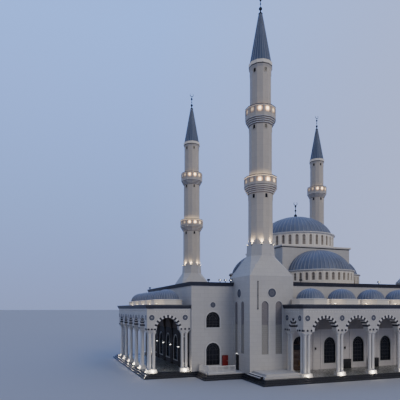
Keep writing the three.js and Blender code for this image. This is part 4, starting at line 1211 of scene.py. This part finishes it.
def main_drum_and_dome():
    """The round of windows, the cornice, the ribbed dome and its finial."""
    wall = Shape()
    drum(wall, MAIN_DRUM_RADIUS, (MAIN_DRUM_LOW, MAIN_CORNICE), MAIN_DRUM_WINDOW, 0, DRUM_FLATS - 1)
    wall.swept(MAIN_MOULDING, 0, 360, 72, "trim")
    make("main_drum_walls", wall, ["main_drum"])
    dome = Shape()
    ribbed_dome(dome, dome_profile(*MAIN_DOME, 22), 54, LARGE_RIB, "lead")
    make("main_dome_lead", dome, ["main_dome"], smooth=50)
    top = Shape()
    foot = [(0.5, 28.8), (0.42, 28.94), (0.14, 29.06)]
    finial(top, foot, [(29.3, 0.32), (30.35, 0.2), (31.2, 0.2)], 32.2, 0.055)
    make("main_dome_finial", top)


def finial(shape, foot, balls, tip, rod):
    """A turned foot, balls on a rod and a crescent at the tip."""
    profile = [*foot]
    for z, radius in balls:
        for i in range(1, 8):
            angle = math.pi * i / 8
            profile.append((max(rod, radius * math.sin(angle)), z - radius * math.cos(angle)))
        profile.append((rod, z + radius + 0.04))
    centre = tip - CRESCENT_RADIUS
    profile.append((rod * 0.8, centre - 0.33))
    shape.turned(profile, 14, "dark_metal")
    crescent(shape, centre)


def crescent(shape, z):
    """A ring open at the top, thickest at its foot."""
    inner = []
    outer = []
    for i in range(21):
        angle = math.radians(90 + 34 + (360 - 68) * i / 20)
        thick = 0.13 * math.sin(math.pi * i / 20) + 0.004
        for edge, radius in ((outer, CRESCENT_RADIUS), (inner, CRESCENT_RADIUS - thick)):
            edge.append((radius * math.cos(angle), z + radius * math.sin(angle)))
    shape.band(inner, outer, (-0.035, 0.035), "dark_metal")


def half_domes():
    """Four half drums and half domes, each on the outer side of the central block."""
    for i, name in enumerate(("front", "right", "back", "left")):
        place = at(turn=90 * i) @ at(0, -BLOCK_HALF)
        wall = Shape(place)
        drum(wall, HALF_DRUM_RADIUS, (EAVES_TOP, HALF_CORNICE), HALF_DRUM_WINDOW, -8, 8)
        wall.pair(6.2, 6.5, (-0.57, 0.0), (EAVES_TOP, HALF_CORNICE), "lit_stone")
        wall.swept(HALF_MOULDING, -90, 90, 44, "trim")
        make(f"{name}_half_drum_walls", wall, [f"{name}_half_drum"])
        dome = Shape(place)
        ribbed_dome(dome, dome_profile(*HALF_DOME, 20), 26, LARGE_RIB, "lead", first=-90, last=90)
        make(f"{name}_half_dome_lead", dome, [f"{name}_half_dome"], smooth=50)


def block_trim():
    """A thin pale line on the central block's cornice, in stone with painted floodlight, and a dark line
    under it that is a painted shadow.
    """
    shape = Shape()
    for half, low, high, look in ((7.45, 21.6, 21.72, "dark_metal"), (7.65, 21.92, 22.08, "lit_stone")):
        shape.box((-half, half), (-half, half), (low, high), look)
    make("block_cornice_painted_lines", shape)


# Minarets, in a frame on the shaft's axis, where flat 0 is the front

def flat_half(radius):
    """Half the width of a flat of the shaft at a distance from the axis."""
    return radius * math.tan(math.pi / SHAFT_SIDES)


def twelve_sided(shape, rows, look):
    """A solid with flats like the shaft's, from (distance to a flat, height) pairs."""
    corner_rows = [(half / math.cos(math.pi / SHAFT_SIDES), z) for half, z in rows]
    shape.turned(corner_rows, SHAFT_SIDES, look, turn=180 / SHAFT_SIDES)


def shaft_windows(shape, z, half):
    """Slit windows with a sill, on every second flat."""
    window = (0.2, z, z + 0.45, z + 0.62)
    for turn in SHAFT_TURNS[::2]:
        shape.place = at(turn=turn) @ at(0, -half)
        shape.box((-0.27, 0.27), (-0.05, 0.02), (z - 0.08, z), "shaft_stone")
        shape.rim(0, window, 0.0, 0.06, (-0.05, 0.02), "shaft_stone")
        shape.upright(opening(0, window), (-0.02, 0.02), "window_glass")


def shaft_piece():
    """A shaft of three storeys between two balconies, up to the collar under the spire."""
    shape = Shape()
    low, high = LOW_BALCONY, HIGH_BALCONY
    rows = [(1.92, 20.05), (1.92, 20.25), (LOW_SHAFT, 20.55)]
    for below, balcony, over in ((LOW_SHAFT, low, MIDDLE_SHAFT), (MIDDLE_SHAFT, high, HIGH_SHAFT)):
        rows += [(below, balcony.slab), (balcony.half, balcony.slab)]
        rows += [(balcony.half, balcony.floor), (over, balcony.floor)]
    rows += [(HIGH_SHAFT, 47.0), (1.78, 47.35), (1.72, 47.4), (1.72, 47.46), (1.78, 47.5), (1.78, COLLAR_TOP)]
    twelve_sided(shape, rows, "shaft_stone")
    corbel(shape, LOW_SHAFT, low)
    corbel(shape, MIDDLE_SHAFT, high)
    parapet(shape, low, "lit_low")
    parapet(shape, high, "lit_high")
    # A dark band round the low balcony's slab, a dark line in the collar's groove as painted shadow, and a
    # pale band over it in stone with painted floodlight.
    lines = [(2.52, (28.9, 28.96), "dark_metal"), (1.8, (47.38, 47.46), "dark_metal"),
             (1.8, (47.54, 47.98), "lit_stone")]
    for turn in SHAFT_TURNS:
        shape.place = at(turn=turn)
        for half, z, look in lines:
            shape.box((-flat_half(half), flat_half(half)), (-half, -half + 0.1), z, look)
    for z, half in ((27.08, LOW_SHAFT), (37.62, MIDDLE_SHAFT), (46.3, HIGH_SHAFT)):
        shaft_windows(shape, z, half)
    return shape


def corbel(shape, inner, balcony):
    """Rings that lean out under a balcony, each a hollow darkened as painted shade under a pale fillet."""
    steps = 4
    outer = balcony.half - 0.06
    for i in range(steps):
        a, b = [inner + (outer - inner) * k / steps for k in (i, i + 1)]
        low, high = [balcony.corbel + (balcony.slab - balcony.corbel) * k / steps for k in (i, i + 1)]
        fillet = high - (high - low) * 0.45
        twelve_sided(shape, [(a - 0.02, low), (b - 0.03, fillet)], "cove")
        twelve_sided(shape, [(b - 0.03, fillet), (b + 0.04, fillet + 0.02), (b + 0.04, high)], "trim")


def parapet(shape, balcony, lit):
    """Panels behind bars, half of them with a bright painted glow, between corner posts and under a dark
    rail.
    """
    side = flat_half(balcony.half)
    low = balcony.floor
    top = balcony.rail
    for i, turn in enumerate(SHAFT_TURNS):
        shape.place = at(turn=turn) @ at(0, -balcony.half)
        shape.box((-side, side), (0.0, 0.16), (low, low + 0.1), "shaft_stone")
        shape.box((-side, side), (0.0, 0.18), (top - 0.34, top - 0.12), "shaft_stone")
        shape.box((-side, side), (0.0, 0.2), (top - 0.14, top), "rosette_ring")
        # Each panel takes one of the looks with a painted glow.
        panel = LIT_PANELS[i % len(LIT_PANELS)]
        shape.box((-side + 0.1, side - 0.1), (0.07, 0.12), (low + 0.1, top - 0.34), f"{lit}_{panel}")
        shape.pair(side - 0.14, side, (0.0, 0.16), (low + 0.06, top - 0.3), "shaft_stone")
        for k in (-1, 0, 1):
            shape.box(about(k * side * 0.4, 0.025), (0.03, 0.09), (low + 0.1, top - 0.34), "shaft_stone")


def spire_piece():
    """A ribbed lead cone on the collar, with balls and a crescent at its tip."""
    shape = Shape()
    rows = [(1.7, COLLAR_TOP), (1.69, 48.12)]
    for i in range(9):
        share = i / 8
        rows.append((1.64 + (0.27 - 1.64) * share, 48.2 + (55.95 - 48.2) * share))
    ribbed_dome(shape, rows, 24, SPIRE_RIB, "spire_lead")
    foot = [(0.2, 55.85), (0.34, 55.9), (0.34, 56.0), (0.2, 56.1), (0.1, 56.3)]
    finial(shape, foot, [(56.75, 0.27), (57.5, 0.12), (58.2, 0.22)], SPIRE_TIP, 0.045)
    return shape


def minarets():
    """The shaft and spire of each tower, made on their own axis and moved there."""
    shaft = shaft_piece()
    spire = spire_piece()
    for name, (sx, sy, _) in TOWERS.items():
        where = (sx * TOWER_AT, sy * TOWER_AT)
        make(f"{name}_shaft", shaft, [f"{name}_minaret"], where=where, smooth=20)
        make(f"{name}_spire_lead", spire, [f"{name}_spire"], where=where, smooth=40)


# Towers under the minarets: niches and roundels on two faces each

def tower_trim():
    """Niches and a roundel on two faces of each tower, and roundels on the wings."""
    shape = Shape()
    half, sill, spring, apex = NICHE
    for sx, sy, turn in TOWERS.values():
        for face in (0, -90):
            shape.place = at(sx * TOWER_AT, sy * TOWER_AT, turn + face) @ at(0, -TOWER_HALF)
            for x in (-NICHE_AT, NICHE_AT):
                shape.box(about(x, half), (0.15, 0.2), (sill, NICHE_CHANGE), "niche_low")
                shape.upright(opening(x, (half, NICHE_CHANGE, spring, apex)), (0.15, 0.2), "niche_high")
                shape.rim(x, NICHE, 0.0, 0.07, (-0.02, 0.02), "trim")
            roundel(shape, 0.0, *TOWER_ROUNDEL)
    for side in (-1, 1):
        for place in (at(0, -WING_FRONT), at(0, WING_FRONT, 180)):
            shape.place = place
            roundel(shape, side * WING_WINDOW_X, *WING_ROUNDEL)
    make("tower_trim", shape)


# Doors

def fielded(shape, x, z, face, out, look):
    """A raised panel on an upright face, with sloped edges."""
    rings = []
    for inset, rise in ((0.0, 0.0), (0.02, out * 0.5), (0.07, out)):
        outline = corners((x[0] + inset, x[1] - inset), (z[0] + inset, z[1] - inset))
        rings.append([(px, face + rise, pz) for px, pz in outline])
    shape.loft(rings, look)


def door_face(shape, x, z, face, side, look):
    """Three panels on one face of a leaf."""
    margin = 0.14
    height = z[1] - z[0] - 4 * margin
    low = z[0] + margin
    for share in (0.28, 0.34, 0.38):
        high = low + height * share
        fielded(shape, (x[0] + margin, x[1] - margin), (low, high), face, side * 0.025, look)
        low = high + margin


def pull(shape, x, z, face, look="brass"):
    """An upright pull bar on two brackets, out from a face."""
    out = face - 0.07
    for height in about(z, 0.35):
        shape.rod((x, face, height), (x, out, height), 0.02, look)
    shape.rod((x, out, z - 0.42), (x, out, z + 0.42), 0.024, look, 10)


def doors():
    """Panels and pulls of the two entrances and of the doors in the two front towers."""
    middle = -HALL_FRONT + DOOR_INSET
    outside, inner = about(middle, LEAF_HALF_THICK)
    for body, side in (("entrance_leaf_a", -1), ("entrance_leaf_b", 1)):
        shape = Shape()
        x = on_side(side, 1.0, 0.005, -ENTRANCE_AT)
        door_face(shape, x, ENTRANCE_LEAF, outside, -1, "timber")
        door_face(shape, x, ENTRANCE_LEAF, inner, 1, "timber")
        pull(shape, -ENTRANCE_AT + side * 0.085, PULL_HEIGHT, outside)
        make(f"{body}_panels", shape, body=body)
    shape = Shape()
    for side in (-1, 1):
        x = on_side(side, 1.04, 0.01, ENTRANCE_AT)
        door_face(shape, x, ENTRANCE_LEAF, outside, -1, "timber")
        pull(shape, ENTRANCE_AT + side * 0.09, PULL_HEIGHT, outside)
    make("right_entrance_panels", shape)
    tower_door_panels("tower_door_metal_panels", "tower_door", -1)
    tower_door_panels("right_tower_door_panels", "building", 1)


def tower_door_panels(name, body, side):
    """Panels and pull of the metal door in a front tower's outer side."""
    shape = Shape(at(side * TOWER_AT, -TOWER_AT, side * 90))
    face = -TOWER_HALF + TOWER_DOOR_INSET
    door_face(shape, on_side(side, 1.44, 0.24), TOWER_LEAF, face, -1, "dark_metal")
    pull(shape, side * 1.3, PULL_HEIGHT + 0.05, face, "rail_metal")
    make(name, shape, body=body)


# Landings, cabinet, lamps, pipes and steps

def landing(side, name):
    """The slab in front of a wing, and its rail with a gap beside the tower."""
    shape = Shape()
    near = TOWER_AT + TOWER_HALF
    far = near + LANDING_LONG
    back = -WING_FRONT
    front = back - LANDING_DEEP
    x = on_side(side, near, far)
    joint = LANDING_TOP - SLAB_THICK
    shape.box(x, (front, back), (PODIUM_TOP, joint), "stone")
    shape.box(x, (front, back), (joint, LANDING_TOP), "trim")
    top = LANDING_TOP + RAIL_HIGH - 0.04
    gate = near + GATE_WIDE
    line = front + 0.05
    edge = far - 0.05
    end = back - 0.3
    for z in (LANDING_TOP + 0.15, top):
        shape.rod((side * gate, line, z), (side * edge, line, z), 0.06, "rail_metal")
        shape.rod((side * edge, line, z), (side * edge, end, z), 0.06, "rail_metal")
    uprights = []
    for i in range(FRONT_BALUSTERS + 1):
        post = i % 6 == 0 or i == FRONT_BALUSTERS
        uprights.append((gate + (edge - gate) * i / FRONT_BALUSTERS, line, post))
    for i in range(1, SIDE_BALUSTERS + 1):
        uprights.append((edge, line + (end - line) * i / SIDE_BALUSTERS, i % 11 == 0))
    for out, y, post in uprights:
        low, high = (side * out, y, LANDING_TOP), (side * out, y, top)
        shape.rod(low, high, POST if post else BALUSTER, "rail_metal", 6)
    make(f"{name}_landing_and_rail", shape, [f"{name}_landing"])


def cabinet():
    """The red cabinet on the left wing's wall: a box, a raised rim, a panel and a handle."""
    shape = Shape(at(CABINET_X, -WING_FRONT))
    shape.box((-0.45, 0.45), (-0.26, 0.0), (1.3, 3.0), "red_paint")
    for z in ((1.3, 1.36), (2.94, 3.0)):
        shape.box((-0.45, 0.45), (-0.3, -0.26), z, "red_paint")
    shape.pair(0.39, 0.45, (-0.3, -0.26), (1.36, 2.94), "red_paint")
    fielded(shape, (-0.36, 0.36), (1.4, 2.9), -0.26, -0.03, "red_paint")
    shape.rod((0.3, -0.29, 2.05), (0.3, -0.29, 2.25), 0.018, "rail_metal")
    make("hose_cabinet_box", shape, ["hose_cabinet"])


def floodlight(shape, x, y, lit):
    """A floodlight on a short post on the eaves, lit or dark."""
    shape.place = at(x, y)
    z = EAVES_TOP
    shape.box((-0.04, 0.04), (-0.04, 0.04), (z, z + 0.25), "dark_metal")
    shape.box((-0.2, 0.2), (-0.12, 0.12), (z + 0.22, z + 0.5), "dark_metal")
    if lit:
        shape.box((-0.07, 0.07), (-0.13, -0.11), (z + 0.33, z + 0.4), "white_lamp")


def pipes(shape):
    """A lamp on a pole over the eaves, a downpipe and a pipe on the left tower's shoulder."""
    shape.place = at(*POLE_LAMP)
    shape.rod((0, 0, EAVES_TOP), (0, 0, 15.4), 0.035, "dark_metal")
    shape.box((-0.2, 0.2), (-0.14, 0.14), (15.4, 15.55), "dark_metal")
    shape.place = at(DOWNPIPE_X, -TOWER_AT - TOWER_HALF)
    shape.rod((0, -0.06, 10.15), (0, -0.06, 14.3), 0.05, "dark_metal")
    for z in (10.3, 12.2, 14.2):
        shape.box((-0.09, 0.09), (-0.12, 0.0), (z, z + 0.05), "dark_metal")
    shape.place = at(-TOWER_AT, -TOWER_AT)
    shape.rod((-3.28, 2.96, 15.9), (-2.42, 2.06, 17.7), 0.04, "dark_metal")


def portico_lamps(shape, plan):
    """Small lamps on the floor at the columns, and on the roof between the drums."""
    shape.place = at(*plan.place)
    case, lens = PODIUM_TOP + 0.1, PODIUM_TOP + 0.13
    for x, y in column_lamps(plan):
        shape.turned([(0.08, PODIUM_TOP), (0.08, case)], 10, "dark_metal", x, y)
        shape.turned([(0.065, case), (0.06, lens)], 10, "lamp", x, y)
    case, lens = PORTICO_TOP + 0.12, PORTICO_TOP + 0.15
    for x, y in drum_lamps(plan):
        shape.box(about(x, 0.1), about(y, 0.06), (PORTICO_TOP, case), "dark_metal")
        shape.box(about(x, 0.08), about(y, 0.04), (case, lens), "lamp")


def fittings():
    """Floodlights, pipes, and lamps round the shafts, in the porticoes and over the tower doors."""
    shape = Shape()
    for x, y, lit in FLOODLIGHTS:
        floodlight(shape, x, y, lit)
    pipes(shape)
    for sx, sy, _ in TOWERS.values():
        for turn in UPLIGHT_TURNS:
            shape.place = at(sx * TOWER_AT, sy * TOWER_AT, turn)
            shape.box((-0.07, 0.07), (-2.1, -1.96), (19.85, 20.12), "dark_metal")
            shape.turned([(0.07, 20.12), (0.07, 20.15)], 10, "lamp", 0, -UPLIGHT_RADIUS)
    for plan in PORTICOES.values():
        portico_lamps(shape, plan)
    for side in (-1, 1):
        shape.place = at(side * TOWER_AT, -TOWER_AT, side * 90) @ at(side * 0.8, -TOWER_HALF)
        shape.box((-0.12, 0.12), (-0.14, 0.0), (3.42, 3.56), "dark_metal")
        shape.box((-0.1, 0.1), (-0.13, -0.02), (3.39, 3.42), "white_lamp")
    make("lamps_and_pipes", shape)


def side_steps():
    """Two low steps on the outer side of each terrace."""
    steps = Shape()
    edge = TOWER_AT + TOWER_HALF
    for side in (-1, 1):
        for out, top in ((0.6, 0.9), (0.3, 1.1)):
            x = on_side(side, edge, edge + out)
            steps.box(x, STEP_ENDS, (PODIUM_TOP, top - SLAB_THICK), "granite")
            steps.box(x, STEP_ENDS, (top - SLAB_THICK, top), "trim")
    make("terrace_side_steps", steps)


# Light, floor and camera

def column_lamps(plan):
    """Where the lamps stand, in front of each pair of columns, in the portico's frame."""
    places = [(x, plan.line - 0.62) for x in pier_middles(plan)]
    for side in (-1, 1):
        for y in (plan.line + 0.35, sum(plan.near) / 2):
            places.append((side * (corner_of(plan) + 0.62), y))
    return places


def drum_lamps(plan):
    """Where the lamps stand between the small drums, in the portico's frame."""
    return [(x, -DOME_FORWARD - 2.2) for x in bay_ends(plan)[1:]]


def add_light(kind, name, place, energy, colour, **settings):
    data = bpy.data.lights.new(name, kind)
    data.energy = energy
    data.color = colour
    for key, value in settings.items():
        setattr(data, key, value)
    lamp_object = bpy.data.objects.new(name, data)
    lamp_object.location = Vector(place) * SCALE
    bpy.context.scene.collection.objects.link(lamp_object)
    return lamp_object


def aim(thing, target):
    way = Vector(target) * SCALE - thing.location
    thing.rotation_euler = way.to_track_quat("-Z", "Y").to_euler()


def lights():
    """Soft daylight from the front right, and a lamp at each uplight round the shafts, at each column lamp
    and between the small drums.
    """
    sun = add_light("SUN", "key", SUN_PLACE, SUN_STRENGTH, DAYLIGHT, angle=math.radians(SUN_WIDTH))
    aim(sun, (0, 0, 10))
    for sx, sy, _ in TOWERS.values():
        for k, turn in enumerate(UPLIGHT_TURNS):
            angle = math.radians(turn)
            way = Vector((math.sin(angle), -math.cos(angle), 0))
            centre = Vector((sx * TOWER_AT, sy * TOWER_AT, 0))
            place = centre + way * (UPLIGHT_RADIUS + 0.1) + Vector((0, 0, 20.2))
            spot = add_light("SPOT", f"shaft_lamp_{sx}_{sy}_{k}", place, UPLIGHT_POWER, WARM,
                             spot_size=math.radians(95), spot_blend=0.9, shadow_soft_size=0.03)
            aim(spot, place + Vector((0, 0, 1.6)) - way * 0.3)
    for name, plan in PORTICOES.items():
        for i, (x, y) in enumerate(column_lamps(plan)):
            place = at(*plan.place) @ Vector((x, y, PODIUM_TOP + 0.2))
            add_light("POINT", f"{name}_column_lamp_{i}", place, COLUMN_LAMP_POWER, PALE_WARM,
                      shadow_soft_size=0.05)
        for i, (x, y) in enumerate(drum_lamps(plan)):
            place = at(*plan.place) @ Vector((x, y - 0.25, PORTICO_TOP + 0.3))
            add_light("POINT", f"{name}_drum_lamp_{i}", place, DRUM_LAMP_POWER, WARM,
                      shadow_soft_size=0.05)


def world():
    """A soft evening sky: blue behind and greyer at the left there, dim at the front left, then warm."""
    scene_world = bpy.data.worlds.new("soft_sky")
    scene_world.use_nodes = True
    sky = Nodes(scene_world.node_tree)
    x, y, z = sky.split("Generated")
    front = sky.blend(sky.ramp(x, -0.85, -0.1), (0.11, 0.132, 0.185), (0.36, 0.39, 0.5))
    front = sky.blend(sky.ramp(x, 0.1, 0.75), front, (0.64, 0.57, 0.5))
    behind = sky.blend(sky.ramp(z, 0.0, 0.55), (0.31, 0.39, 0.7), (0.36, 0.63, 1.45))
    behind = sky.blend(sky.ramp(x, 0.2, 0.75), behind, (0.54, 0.63, 1.0))
    behind = sky.blend(sky.ramp(x, -0.75, -0.25), (0.42, 0.44, 0.52), behind)
    colour = sky.blend(sky.ramp(y, -0.3, 0.3), front, behind)
    sky.put(sky.tree.nodes["Background"].inputs["Color"], colour)
    bpy.context.scene.world = scene_world


def floor():
    """A wide pale floor, which is part of the setting."""
    shape = bpy.data.meshes.new("floor")
    reach = 2000.0
    points = [(x, y, 0) for x, y in corners((-reach, reach), (-reach, reach))]
    shape.from_pydata(points, [], [(0, 1, 2, 3)])
    look = Look("floor_matte", 0.9)
    look.set("Base Color", (0.38, 0.39, 0.42))
    shape.materials.append(look.material)
    ground = bpy.data.objects.new("floor", shape)
    bpy.context.scene.collection.objects.link(ground)


def camera():
    """A level camera, shifted up so that the spires are in its view."""
    data = bpy.data.cameras.new("camera")
    data.sensor_width = 36.0
    data.lens = LENS
    data.shift_y = LENS_SHIFT
    data.clip_start = 0.5
    data.clip_end = 5000.0
    view = bpy.data.objects.new("camera", data)
    view.location = CAMERA_PLACE
    view.rotation_euler = (math.radians(90), 0.0, math.radians(CAMERA_TURN))
    bpy.context.scene.collection.objects.link(view)
    bpy.context.scene.camera = view


camera()
world()
lights()
floor()
dress_cad_nodes()
windows()
for portico_name, portico_plan in PORTICOES.items():
    arcade(portico_name, portico_plan)
    arcade_columns(portico_name, portico_plan)
    inside(portico_name, portico_plan)
    portico_eaves(portico_name, portico_plan)
    small_domes(portico_name, portico_plan)
main_drum_and_dome()
half_domes()
block_trim()
minarets()
tower_trim()
doors()
landing(-1, "left")
landing(1, "right")
cabinet()
fittings()
side_steps()
